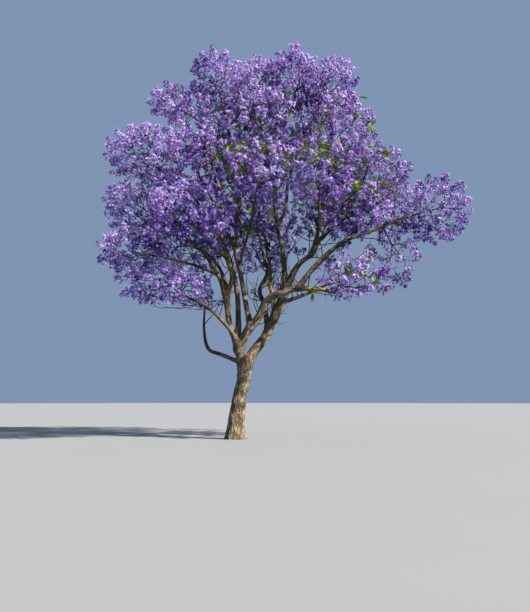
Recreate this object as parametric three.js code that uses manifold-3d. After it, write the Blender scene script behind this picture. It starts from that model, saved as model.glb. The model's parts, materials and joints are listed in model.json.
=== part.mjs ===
// A jacaranda in full bloom, rooted in level ground: one leaning trunk with a root flare, its leaders and
// boughs, and masses of blossom at the boughs' ends, each a tree of twigs that carries sprays of flowers.
// Millimetres. X is to the right, Y away from the viewer, Z up, and the origin is the middle of the
// flat cut at ground level.

import * as THREE from "three";
import { ConvexGeometry } from "three/addons/geometries/ConvexGeometry.js";
import { mergeVertices } from "three/addons/utils/BufferGeometryUtils.js";
import Module from "manifold-3d";

const wasm = await Module();
wasm.setup();

// Touching limbs and stems keep the joint gap, and a mass keeps the space margin inside its own space.
const JOINT_GAP = 0.35;
const SPACE_MARGIN = 12;

// How finely the limbs are cut: a ring about every step, more sides on a limb thicker than the leader girth.
const LIMB_STEP = 1150;
const LEAST_RINGS = 3;
const LIMB_SIDES = 6;
const LEADER_SIDES = 8;
const LEADER_GIRTH = 230;
const TRUNK_SIDES = 16;
const TRUNK_RINGS = 12;

// The trunk's line from below the ground cut to the fork, and its diameter at each end.
const TRUNK_LINE = [
  [0, 0, -500],
  [-10, 0, 400],
  [110, 0, 1380],
  [250, 0, 1990],
  [340, 0, 2700],
];
const TRUNK_GIRTH = [580, 400];
const GROUND_BLOCK = 4000;
const MERGE_WITHIN = 0.001;

// The root flare dies away upwards over its height, and the swelling under the fork downwards over its own.
// Shares are of the trunk's radius.
const FLARE_HEIGHT = 330;
const FLARE_SHARE = 0.38;
const ROOT_LOBES = 5;
const LOBE_DEPTH = 0.09;
const LOBE_LEAST = 0.3;
const SWELL_HEIGHT = 220;
const SWELL_SHARE = 0.34;
const TRUNK_TOP_SHARE = 0.62;

// The collar where a limb leaves its parent, as shares of the limb's radius and diameter, and how deep in
// its mass a bough ends. A depth is a share of the way from a mass's middle, 0, to its edge, 1.
const COLLAR_SHARE = 0.28;
const COLLAR_LENGTH = 1.3;
const BOUGH_END_DEPTH = 0.6;

// The stem of a mass, as shares of its bough's end radius and of the mass's least half size.
const STEM_SHARE = 0.95;
const STEM_LENGTH = 0.22;

// The twigs of one mass: how many, the depths their tips lie between, and how thick they are.
const TWIGS = 6;
const TWIG_DEPTH = [0.3, 0.62];
const TWIG_SHARE = 0.7;
const TWIG_SHOULDER = 2.5;
const TWIG_TIP_RADIUS = 12;
const ROOT_SUNK = 6;

// The rule of growth: where the buds lie along a twig, how many of them a stem has, and what weighs in the
// choice of a bud.
const BUDS = [0.3, 0.44, 0.58, 0.72, 0.86, 0.99];
const STEM_BUDS = 3;
const RUN_WEIGHT = 0.45;
const TURN_WEIGHT = 0.5;
const POINT_TRIES = 60;
const BUD_TRIES = 5;

// Sprays of blossom: six-faced lozenges, each from a bud out to its tip. The girth and the place of the belly
// are shares of a spray's length, and the angle, in degrees, is the least one between it and its twig.
const SPRAYS_PER_SQUARE_METRE = 2.35;
const SQUARE_METRE = 1e6;
const SPRAY_DEPTH = [0.72, 0.98];
const SPRAY_LENGTH = [400, 1200];
const SPRAY_SIZES = [1, 0.84, 0.68];
const SPRAY_GIRTH = 0.36;
const SPRAY_BELLY = 0.6;
const SPRAY_LEAST_ANGLE = 37;
const SPRAY_OVERLAP = 0.02;

const BARK_GREY = 0x8a7a66;
const BLOSSOM_VIOLET = 0x8f7bd0;

// Limbs that end in a fork. from and at say which limb each leaves and where along it, from 0 to 1;
// way is the points that its line passes and girth its diameter at each end.
const FORKED_LIMBS = [
  {
    name: "left_leader", from: "trunk", at: 0.8, girth: [335, 290],
    way: [[120, -70, 2780], [20, -200, 3400]],
  },
  {
    name: "right_leader", from: "trunk", at: 0.8, girth: [345, 300],
    way: [[500, 70, 2830], [950, 200, 3450], [1190, 200, 3940], [1530, 200, 4680], [1740, 200, 5260]],
  },
  {
    name: "cross_limb", from: "left_leader", at: 0.72, girth: [300, 210],
    way: [
      [400, -340, 3650], [650, -420, 3930], [850, -500, 4250], [1050, -580, 4640], [1400, -700, 4860],
      [2300, -800, 5150],
    ],
  },
];

// Limbs that each carry a mass of blossom. middle and reach are the mass's centre and half sizes.
const FLOWERING_LIMBS = [
  {
    name: "low_left_limb", from: "trunk", at: 0.93, girth: [160, 70],
    way: [[-560, 300, 2880], [-1000, 560, 3120], [-1180, 700, 3800]],
    mass: "low_left_sprig", middle: [-1150, 500, 4900], reach: [700, 800, 550],
  },
  {
    name: "left_low_limb", from: "left_leader", at: 0.8, girth: [160, 80],
    way: [[-290, -450, 3780], [-980, -1000, 4400]],
    mass: "left_skirt", middle: [-2400, -1450, 5050], reach: [1800, 1650, 750],
  },
  {
    name: "left_upright", from: "left_leader", at: 0.9, girth: [215, 60],
    way: [
      [-240, 0, 3900], [-330, 200, 4970], [-180, 300, 5620], [-360, 300, 6310],
      [-640, 300, 7500], [-560, 300, 9300], [-250, 300, 10500],
    ],
    mass: "top_left", middle: [-790, 650, 13020], reach: [1080, 2350, 950],
  },
  {
    name: "left_climber", from: "left_upright", at: 0.2, girth: [150, 70],
    way: [[-690, 0, 5680], [-1500, 0, 6750]],
    mass: "left_outer", middle: [-3480, 500, 8150], reach: [1380, 2250, 1250],
  },
  {
    name: "left_outer_limb", from: "left_climber", at: 0.33, girth: [110, 65], way: [[-1900, -200, 6080]],
    mass: "left_low_outer", middle: [-3550, -450, 6400], reach: [1270, 2150, 950],
  },
  {
    name: "left_arm", from: "left_upright", at: 0.5, girth: [120, 70], way: [[-800, -700, 6480]],
    mass: "left_front", middle: [-1450, -2650, 7150], reach: [1600, 1850, 1150],
  },
  {
    name: "wing_limb", from: "left_upright", at: 0.74, girth: [105, 50],
    way: [[-1150, 100, 10350], [-1400, 0, 11200]],
    mass: "upper_left_wing", middle: [-2260, -200, 11790], reach: [1020, 1450, 700],
  },
  {
    name: "shoulder_limb", from: "left_upright", at: 0.66, girth: [110, 55], way: [[-900, 900, 9600]],
    mass: "left_shoulder", middle: [-1400, 850, 11150], reach: [1550, 2250, 1400],
  },
  {
    name: "rear_left_limb", from: "left_upright", at: 0.27, girth: [150, 75], way: [[-800, 1500, 6300]],
    mass: "back_left", middle: [-2300, 3150, 7750], reach: [2150, 1900, 1800],
  },
  {
    name: "straight_stem", from: "left_leader", at: 0.97, girth: [210, 65],
    way: [[60, 60, 4000], [-30, 560, 5200], [-500, 900, 6900], [-1700, 500, 8700]],
    mass: "left_high", middle: [-3100, -250, 9830], reach: [1650, 2300, 1100],
  },
  {
    name: "centre_stem", from: "cross_limb", at: 0.22, girth: [190, 60],
    way: [
      [260, 0, 4970], [60, 200, 5960], [-40, 300, 6500],
      [20, 300, 7870], [100, 200, 9300], [600, 200, 10900],
    ],
    mass: "top_middle", middle: [600, 650, 12520], reach: [1300, 2550, 1220],
  },
  {
    name: "centre_left_arm", from: "centre_stem", at: 0.42, girth: [110, 60], way: [[-600, -500, 7700]],
    mass: "left_inner", middle: [-1450, -1500, 9150], reach: [1550, 1900, 1300],
  },
  {
    name: "front_arm", from: "centre_stem", at: 0.3, girth: [120, 65], way: [[450, -1100, 7000]],
    mass: "centre_front", middle: [850, -2600, 8600], reach: [1550, 1800, 1000],
  },
  {
    name: "rear_top_limb", from: "centre_stem", at: 0.6, girth: [120, 65], way: [[200, 1200, 9300]],
    mass: "back_top", middle: [750, 2350, 10850], reach: [2250, 1700, 1600],
  },
  {
    name: "crooked_stem", from: "right_leader", at: 0.52, girth: [190, 75],
    way: [[940, 460, 4700], [790, 780, 5230], [1060, 1000, 5890], [980, 1000, 6400]],
    mass: "centre_deep", middle: [550, 1300, 8450], reach: [1400, 1650, 1250],
  },
  {
    name: "lichen_stem", from: "right_leader", at: 0.68, girth: [150, 75],
    way: [[1190, 330, 5250], [1150, 700, 6200], [1000, 2300, 7400]],
    mass: "back_centre", middle: [800, 4000, 8400], reach: [1900, 1700, 1850],
  },
  {
    name: "right_upright", from: "right_leader", at: 0.94, girth: [210, 65],
    way: [[1660, 200, 6110], [1590, 200, 6680], [1400, 200, 7440], [1230, 100, 8870]],
    mass: "centre_upper", middle: [900, -950, 10700], reach: [1700, 2200, 1600],
  },
  {
    name: "crest_riser", from: "right_upright", at: 0.6, girth: [120, 55],
    way: [[1720, 260, 8100], [1850, 300, 9200], [2450, 250, 10900]],
    mass: "top_right", middle: [3430, 600, 12550], reach: [1090, 2350, 1200],
  },
  {
    name: "crest_limb", from: "crest_riser", at: 0.74, girth: [75, 50], way: [],
    mass: "top_crest", middle: [1950, 300, 12850], reach: [1300, 2300, 1050],
  },
  {
    name: "right_climber", from: "right_leader", at: 0.96, girth: [240, 75],
    way: [[2120, 0, 5930], [2660, -200, 6380], [2860, -300, 6790]],
    mass: "right_middle", middle: [4150, -1050, 7800], reach: [1550, 1700, 1000],
  },
  {
    name: "right_front_arm", from: "right_climber", at: 0.72, girth: [110, 65], way: [[2800, -1000, 7500]],
    mass: "right_front", middle: [2750, -2150, 8650], reach: [1350, 1800, 1150],
  },
  {
    name: "shoulder_riser", from: "right_climber", at: 0.62, girth: [130, 60],
    way: [[3000, 300, 8100], [3500, 350, 9400]],
    mass: "right_shoulder", middle: [3600, 200, 10850], reach: [1550, 2500, 1450],
  },
  {
    name: "right_high_limb", from: "right_climber", at: 0.8, girth: [110, 60], way: [[3900, 100, 8300]],
    mass: "right_high", middle: [4750, 200, 9240], reach: [1580, 2350, 1190],
  },
  {
    name: "rear_right_limb", from: "right_climber", at: 0.45, girth: [140, 70], way: [[3000, 1400, 7600]],
    mass: "back_right", middle: [3950, 3050, 9200], reach: [2150, 1900, 1700],
  },
  {
    name: "right_arch", from: "cross_limb", at: 0.97, girth: [190, 75],
    way: [[2680, -950, 5810], [3600, -1050, 6580], [4650, -1000, 7000], [5600, -950, 7420]],
    mass: "far_right", middle: [6850, -500, 7870], reach: [1450, 1650, 1330],
  },
  {
    name: "curtain_limb", from: "right_arch", at: 0.66, girth: [90, 55], way: [],
    mass: "right_curtain", middle: [5600, -200, 6250], reach: [950, 1500, 1300],
  },
  {
    name: "right_low_limb", from: "cross_limb", at: 0.95, girth: [170, 80],
    way: [[2750, -1000, 4980], [3200, -1200, 4860]],
    mass: "right_low", middle: [4000, -1700, 5150], reach: [1250, 1350, 700],
  },
  {
    name: "rear_low_limb", from: "right_leader", at: 0.8, girth: [160, 75], way: [[2500, 1300, 5150]],
    mass: "back_low_right", middle: [4400, 2900, 6250], reach: [1650, 1750, 1050],
  },
];

const vec = (xyz) => new THREE.Vector3(...xyz);

// A repeatable stream of numbers from 0 to 1 for one seed.
function randomStream(seed) {
  let state = seed >>> 0;
  return () => {
    state = (state + 0x6d2b79f5) >>> 0;
    let t = Math.imul(state ^ (state >>> 15), state | 1);
    t ^= t + Math.imul(t ^ (t >>> 7), t | 61);
    return ((t ^ (t >>> 14)) >>> 0) / 4294967296;
  };
}

// A closed mesh as a solid, with the vertices that its faces share merged.
function solidOf(geometry) {
  geometry.deleteAttribute("normal");
  geometry.deleteAttribute("uv");
  const merged = mergeVertices(geometry, MERGE_WITHIN);
  return new wasm.Manifold(
    new wasm.Mesh({
      numProp: 3,
      vertProperties: new Float32Array(merged.attributes.position.array),
      triVerts: new Uint32Array(merged.index.array),
    }),
  );
}

// A named mesh from a solid's largest piece.
function meshOf(name, solid, material) {
  const pieces = solid.decompose().sort((a, b) => b.volume() - a.volume());
  const { vertProperties, triVerts } = pieces[0].getMesh();
  const geometry = new THREE.BufferGeometry();
  geometry.setAttribute("position", new THREE.BufferAttribute(vertProperties, 3));
  geometry.setIndex(new THREE.BufferAttribute(triVerts, 1));
  geometry.computeVertexNormals();
  const mesh = new THREE.Mesh(geometry, material);
  mesh.name = name;
  return mesh;
}

// A cylinder bent along a curve and grown all round by a gap; radiusAt gives its radius from the share along
// it and the angle round it.
function bentTube(curve, sides, rings, radiusAt, gap) {
  const geometry = new THREE.CylinderGeometry(1, 1, 1, sides, rings, false);
  const frames = curve.computeFrenetFrames(rings, false);
  const place = geometry.attributes.position;
  for (let i = 0; i < place.count; i += 1) {
    const along = 0.5 - place.getY(i);
    const ring = Math.round(along * rings);
    const spread = Math.hypot(place.getX(i), place.getZ(i));
    const angle = Math.atan2(place.getZ(i), place.getX(i));
    const radius = spread * (radiusAt(along, angle) + gap);
    const past = ring === 0 ? -gap : ring === rings ? gap : 0;
    const point = curve
      .getPointAt(ring / rings)
      .addScaledVector(frames.tangents[ring], past)
      .addScaledVector(frames.normals[ring], radius * Math.cos(angle))
      .addScaledVector(frames.binormals[ring], radius * Math.sin(angle));
    place.setXYZ(i, point.x, point.y, point.z);
  }
  return solidOf(geometry);
}

// The trunk, wider and lobed towards its roots, and cut flat at the ground.
function makeTrunk() {
  const curve = new THREE.CatmullRomCurve3(TRUNK_LINE.map(vec), false, "catmullrom");
  const top = curve.getPointAt(1).z;
  const radiusAt = (along, angle) => {
    const height = Math.max(0, curve.getPointAt(along).z);
    const flare = FLARE_SHARE * Math.exp(-height / FLARE_HEIGHT);
    const swell = SWELL_SHARE * Math.exp((height - top) / SWELL_HEIGHT);
    const lobes = 1 + LOBE_DEPTH * (LOBE_LEAST + flare / FLARE_SHARE) * Math.cos(ROOT_LOBES * angle);
    const radius = THREE.MathUtils.lerp(TRUNK_GIRTH[0], TRUNK_GIRTH[1], along) / 2;
    return radius * (1 + flare + swell) * lobes * (along < 1 ? 1 : TRUNK_TOP_SHARE);
  };
  const ground = solidOf(new THREE.BoxGeometry(GROUND_BLOCK, GROUND_BLOCK, GROUND_BLOCK))
    .translate([0, 0, -GROUND_BLOCK / 2]);
  const whole = (gap) => bentTube(curve, TRUNK_SIDES, TRUNK_RINGS, radiusAt, gap);
  return { name: "trunk", curve, solid: whole(0).subtract(ground), clear: whole(JOINT_GAP) };
}

// The point where a bough enters the mass that it carries, seen from the last point before it.
function entryPoint(limb, before) {
  const middle = vec(limb.middle);
  const back = before.clone().sub(middle);
  const [rx, ry, rz] = limb.reach;
  const share = BOUGH_END_DEPTH / Math.hypot(back.x / rx, back.y / ry, back.z / rz);
  return middle.addScaledVector(back, share);
}

// A tapering limb that leaves its parent with a collar. Its solid is cut clear of every limb before it.
function makeLimb(limb, made) {
  const parent = made.get(limb.from);
  const points = [parent.curve.getPoint(limb.at), ...limb.way.map(vec)];
  if (limb.mass) points.push(entryPoint(limb, points[points.length - 1]));
  const curve = new THREE.CatmullRomCurve3(points, false, "catmullrom");
  const length = curve.getLength();
  const [wide, narrow] = limb.girth;
  const radiusAt = (along) => {
    const collar = COLLAR_SHARE * Math.exp((-along * length) / (COLLAR_LENGTH * wide));
    return (THREE.MathUtils.lerp(wide, narrow, along) / 2) * (1 + collar);
  };
  const sides = wide > LEADER_GIRTH ? LEADER_SIDES : LIMB_SIDES;
  const rings = Math.max(LEAST_RINGS, Math.round(length / LIMB_STEP), limb.way.length + 1);
  let solid = bentTube(curve, sides, rings, radiusAt, 0);
  for (const other of made.values()) solid = solid.subtract(other.clear);
  const clear = bentTube(curve, sides, rings, radiusAt, JOINT_GAP);
  return { ...limb, curve, solid, clear, endRadius: radiusAt(1) };
}

// Whether two boxes are apart.
function apart(a, b) {
  return [0, 1, 2].some((k) => a.max[k] < b.min[k] || b.max[k] < a.min[k]);
}

// The space that one mass keeps to: an ellipsoid, as far as the planes that part it from the other masses,
// and clear of every limb.
class Space {
  constructor(limb, limbs) {
    this.middle = vec(limb.middle);
    this.reach = vec(limb.reach);
    this.size = Math.cbrt(this.reach.x * this.reach.y * this.reach.z);
    this.limbs = limbs;
    this.others = [];
  }

  // The point at a depth, 0 in the middle and 1 at the edge, on the way given by a unit vector.
  pointAt(way, depth) {
    return this.middle.clone().addScaledVector(way.clone().multiply(this.reach), depth);
  }

  // How far a point lies on this space's side of the plane that parts it from another, in millimetres.
  sideOf(other, point) {
    const power = (space) => space.middle.distanceToSquared(point) - space.size ** 2;
    return (power(other) - power(this)) / (2 * this.middle.distanceTo(other.middle));
  }

  holds(point) {
    const inside = point.clone().sub(this.middle).divide(this.reach).length() <= 1;
    return inside && this.others.every((other) => this.sideOf(other, point) > SPACE_MARGIN);
  }

  isClear(solid) {
    const box = solid.boundingBox();
    return this.limbs.every(
      (limb) => apart(box, limb.clear.boundingBox()) || solid.intersect(limb.clear).isEmpty(),
    );
  }

  // Points spread evenly between two depths: each is the best of several tries at being far from the rest.
  spread(count, [least, most], random) {
    const chosen = [];
    for (let n = 0; n < count; n += 1) {
      let best = null;
      for (let k = 0; k < POINT_TRIES; k += 1) {
        const up = 2 * random() - 1;
        const turn = 2 * Math.PI * random();
        const flat = Math.sqrt(1 - up * up);
        const way = new THREE.Vector3(flat * Math.cos(turn), flat * Math.sin(turn), up);
        const point = this.pointAt(way, THREE.MathUtils.lerp(least, most, random()));
        if (!this.holds(point)) continue;
        const room = Math.min(Number.MAX_VALUE, ...chosen.map((c) => c.distanceTo(point)));
        if (!best || room > best.room) best = { point, room };
      }
      if (best) chosen.push(best.point);
    }
    return chosen;
  }
}

// Three points round a line through a point, turned by an angle.
function threeRound(point, heading, radius, turn = 0) {
  const side = new THREE.Vector3(heading.z, heading.x, heading.y).cross(heading).normalize();
  return [0, 1, 2].map((k) =>
    point.clone().addScaledVector(side.clone().applyAxisAngle(heading, turn + (2 * Math.PI * k) / 3), radius),
  );
}

// A three-sided stem with a flat foot.
function makeStem(from, to, radius) {
  const heading = to.clone().sub(from).normalize();
  const corners = [...threeRound(from, heading, radius), ...threeRound(to, heading, STEM_SHARE * radius)];
  return solidOf(new ConvexGeometry(corners));
}

// A three-sided tapering twig whose pointed root is sunk in the wood that it leaves.
function makeTwig(from, to, radius) {
  const heading = to.clone().sub(from).normalize();
  const root = from.clone().addScaledVector(heading, -ROOT_SUNK);
  const shoulder = from.clone().addScaledVector(heading, TWIG_SHOULDER * radius);
  const rings = [...threeRound(shoulder, heading, radius), ...threeRound(to, heading, TWIG_TIP_RADIUS)];
  return solidOf(new ConvexGeometry([root, ...rings]));
}

// The largest spray that fits from a bud towards a tip, clear of the others but for their roots, or null.
function fitSpray(bud, tip, turn, space, others) {
  const way = tip.clone().sub(bud.point);
  const most = Math.min(way.length(), SPRAY_LENGTH[1]);
  way.normalize();
  const cosine = Math.cos(THREE.MathUtils.degToRad(SPRAY_LEAST_ANGLE));
  if (!bud.last && way.dot(bud.heading) > cosine) return null;
  for (const length of SPRAY_SIZES.map((size) => size * most)) {
    if (length < SPRAY_LENGTH[0]) return null;
    const along = (distance) => bud.point.clone().addScaledVector(way, distance);
    const belly = threeRound(along(SPRAY_BELLY * length), way, SPRAY_GIRTH * length, turn);
    const corners = [along(-ROOT_SUNK), ...belly, along(length)];
    if (!corners.every((corner) => space.holds(corner))) continue;
    const spray = solidOf(new ConvexGeometry(corners));
    const box = spray.boundingBox();
    const shared = SPRAY_OVERLAP * spray.volume();
    const free = others.every((o) => apart(box, o.boundingBox()) || spray.intersect(o).volume() <= shared);
    if (free && space.isClear(spray)) return spray;
  }
  return null;
}

// The buds along a stretch of wood, where a twig or a spray can leave it.
function budsAlong(from, to, run) {
  const heading = to.clone().sub(from);
  const length = heading.length();
  heading.normalize();
  return BUDS.map((share, i) => ({
    point: from.clone().addScaledVector(heading, share * length),
    heading,
    run: run + share * length,
    last: i === BUDS.length - 1,
  }));
}

// The rule of growth: new wood leaves the bud that it is cheapest to reach its tip from, counting the
// straight way, part of the way along the wood so far, and how sharply it turns from the old wood.
function cheapestBud(buds, tip) {
  const cost = (bud) => {
    const way = tip.clone().sub(bud.point);
    const turn = 1 - way.clone().normalize().dot(bud.heading);
    return way.length() * (1 + TURN_WEIGHT * turn) + RUN_WEIGHT * bud.run;
  };
  return buds.reduce((best, bud) => (best && cost(best) <= cost(bud) ? best : bud), null);
}

// Takes one of a list's items out of it.
function take(list, item) {
  list.splice(list.indexOf(item), 1);
}

// One mass of blossom: its stem meets the bough's tip, and twigs and sprays grow from it, each from its own
// bud and within the mass's space. What would leave that space or touch a limb is skipped.
function makeMass(limb, seed) {
  const { space } = limb;
  const random = randomStream(seed);
  const heading = limb.curve.getTangent(1);
  const foot = limb.curve.getPoint(1).addScaledVector(heading, JOINT_GAP);
  const head = foot.clone().addScaledVector(heading, STEM_LENGTH * Math.min(...limb.reach));
  const radius = STEM_SHARE * limb.endRadius;
  const wood = [makeStem(foot, head, radius)];
  const buds = budsAlong(foot, head, 0).slice(-STEM_BUDS);

  const furthest = 2 * Math.max(...limb.reach);
  const radiusAt = (run) =>
    THREE.MathUtils.lerp(TWIG_SHARE * radius, TWIG_TIP_RADIUS, Math.min(1, run / furthest));
  const ends = space.spread(TWIGS, TWIG_DEPTH, random);
  ends.sort((a, b) => a.distanceTo(head) - b.distanceTo(head));
  for (const end of ends) {
    const bud = cheapestBud(buds, end);
    const twig = makeTwig(bud.point, end, radiusAt(bud.run));
    if (!space.isClear(twig)) continue;
    wood.push(twig);
    take(buds, bud);
    buds.push(...budsAlong(bud.point, end, bud.run));
  }

  const [rx, ry, rz] = limb.reach;
  const count = Math.round((SPRAYS_PER_SQUARE_METRE * (rx * ry + ry * rz + rz * rx)) / SQUARE_METRE);
  const sprays = [];
  for (const tip of space.spread(count, SPRAY_DEPTH, random)) {
    const turn = 2 * Math.PI * random();
    const tried = buds.filter((bud) => bud.point.distanceTo(tip) > SPRAY_LENGTH[0]);
    for (let k = 0; k < BUD_TRIES && tried.length > 0; k += 1) {
      const bud = cheapestBud(tried, tip);
      take(tried, bud);
      const spray = fitSpray(bud, tip, turn, space, sprays);
      if (!spray) continue;
      sprays.push(spray);
      take(buds, bud);
      break;
    }
  }
  return wasm.Manifold.union([...wood, ...sprays]);
}

const bark = new THREE.MeshStandardMaterial({ color: BARK_GREY, roughness: 0.9, metalness: 0 });
const blossom = new THREE.MeshStandardMaterial({ color: BLOSSOM_VIOLET, roughness: 0.7, metalness: 0 });

const made = new Map([["trunk", makeTrunk()]]);
for (const limb of [...FORKED_LIMBS, ...FLOWERING_LIMBS]) made.set(limb.name, makeLimb(limb, made));
const limbs = [...made.values()];
const flowering = limbs.filter((limb) => limb.mass);
for (const limb of flowering) limb.space = new Space(limb, limbs);
for (const { space } of flowering) {
  space.others = flowering.map((limb) => limb.space).filter((other) => other !== space);
}

const tree = new THREE.Group();
for (const limb of limbs) tree.add(meshOf(limb.name, limb.solid, bark));
flowering.forEach((limb, i) => tree.add(meshOf(limb.mass, makeMass(limb, i + 1), blossom)));

export default tree;
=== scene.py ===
"""A jacaranda in full bloom, in a plain studio.

The limbs run along the same named lines as the tree's solids. A bark mesh with its relief stands for the
trunk and the limbs, and each solid mass of blossom is replaced by twigs, panicles of trumpet flowers and
feathery leaves that grow on from the bough's tip by the same rule, within the same reach.

Plans are in millimetres, as in the solids, and everything made is in metres. X is to the right, Y away from
the viewer and Z up, and the origin is the middle of the cut under the trunk, at ground level.
"""

import itertools
import json
import logging
import math
from dataclasses import dataclass, field
from enum import Enum
from typing import Sequence, Union

import bpy
import numpy as np
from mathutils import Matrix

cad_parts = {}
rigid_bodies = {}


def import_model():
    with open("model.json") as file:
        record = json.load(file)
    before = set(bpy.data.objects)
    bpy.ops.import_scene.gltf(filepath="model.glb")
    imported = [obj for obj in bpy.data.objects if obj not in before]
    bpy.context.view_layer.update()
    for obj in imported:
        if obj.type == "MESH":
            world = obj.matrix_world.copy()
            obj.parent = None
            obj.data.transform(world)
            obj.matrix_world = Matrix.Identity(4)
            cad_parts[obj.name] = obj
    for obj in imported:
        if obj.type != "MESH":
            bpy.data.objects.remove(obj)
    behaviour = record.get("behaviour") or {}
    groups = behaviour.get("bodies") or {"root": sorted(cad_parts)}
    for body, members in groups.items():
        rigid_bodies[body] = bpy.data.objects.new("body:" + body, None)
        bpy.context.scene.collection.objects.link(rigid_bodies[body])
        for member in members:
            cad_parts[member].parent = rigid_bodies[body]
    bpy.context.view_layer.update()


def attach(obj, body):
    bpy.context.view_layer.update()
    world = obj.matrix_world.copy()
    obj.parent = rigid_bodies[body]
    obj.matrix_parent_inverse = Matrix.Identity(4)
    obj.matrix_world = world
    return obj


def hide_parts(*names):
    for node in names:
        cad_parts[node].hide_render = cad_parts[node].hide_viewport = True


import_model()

Array = np.ndarray
Mesh = tuple[Array, Array]  # vertices and triangles
Point = tuple[float, float, float]
Colour = tuple[float, float, float]
Pair = tuple[float, float]  # the two ends or the two shares of something
Noise = tuple[float, float, float]  # waves a metre, detail and roughness
Curve = tuple[Array, Array, Array, Array]  # start, end, way of leaving and way of arriving

log = logging.getLogger("jacaranda")

BODY = "root"
MM = 0.001
TINY = 1e-12
UP = np.array([0.0, 0.0, 1.0])
OBLIQUE = np.array([0.31, 1.0, 0.17])  # a way that no limb starts along
FULL_TURN = 2 * math.pi
GOLDEN_TURN = 2.399963
NO_PARENT = -1

# Factors and masks that mix the bits of a lattice corner's numbers
HASH_FACTORS = (374761393, 668265263, 1274126177)
SEED_FACTOR = 83492791
MIX_FACTOR = 1103515245
LOW_31_BITS = 0x7FFFFFFF
LOW_16_BITS = 0xFFFF


# Plans of the limbs and of the masses they carry


@dataclass(frozen=True)
class MassPlan:
    """A mass of blossom: its solid's name, middle and half sizes, and how leafy and how full it is."""

    name: str
    middle: Point
    reach: Point
    leafy: float = 0.0
    full: float = 1.0


@dataclass(frozen=True)
class LimbPlan:
    """A limb: which limb it leaves and where along it, its width at each end and the points on its way."""

    name: str
    parent: str
    at: float
    girth: Pair
    way: tuple[Point, ...]
    mass: Union[MassPlan, None] = None


TRUNK_LINE = ((0, 0, -500), (-10, 0, 400), (110, 0, 1380), (250, 0, 1990), (340, 0, 2700))

LEADERS = (
    LimbPlan("left_leader", "trunk", 0.8, (335, 290), ((120, -70, 2780), (20, -200, 3400))),
    LimbPlan("right_leader", "trunk", 0.8, (345, 300),
        ((500, 70, 2830), (950, 200, 3450), (1190, 200, 3940), (1530, 200, 4680), (1740, 200, 5260))),
    LimbPlan("cross_limb", "left_leader", 0.72, (300, 210),
        ((400, -340, 3650), (650, -420, 3930), (850, -500, 4250), (1050, -580, 4640), (1400, -700, 4860),
        (2300, -800, 5150))),
)

STOUT_LIMBS = ("trunk", *(plan.name for plan in LEADERS))

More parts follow.
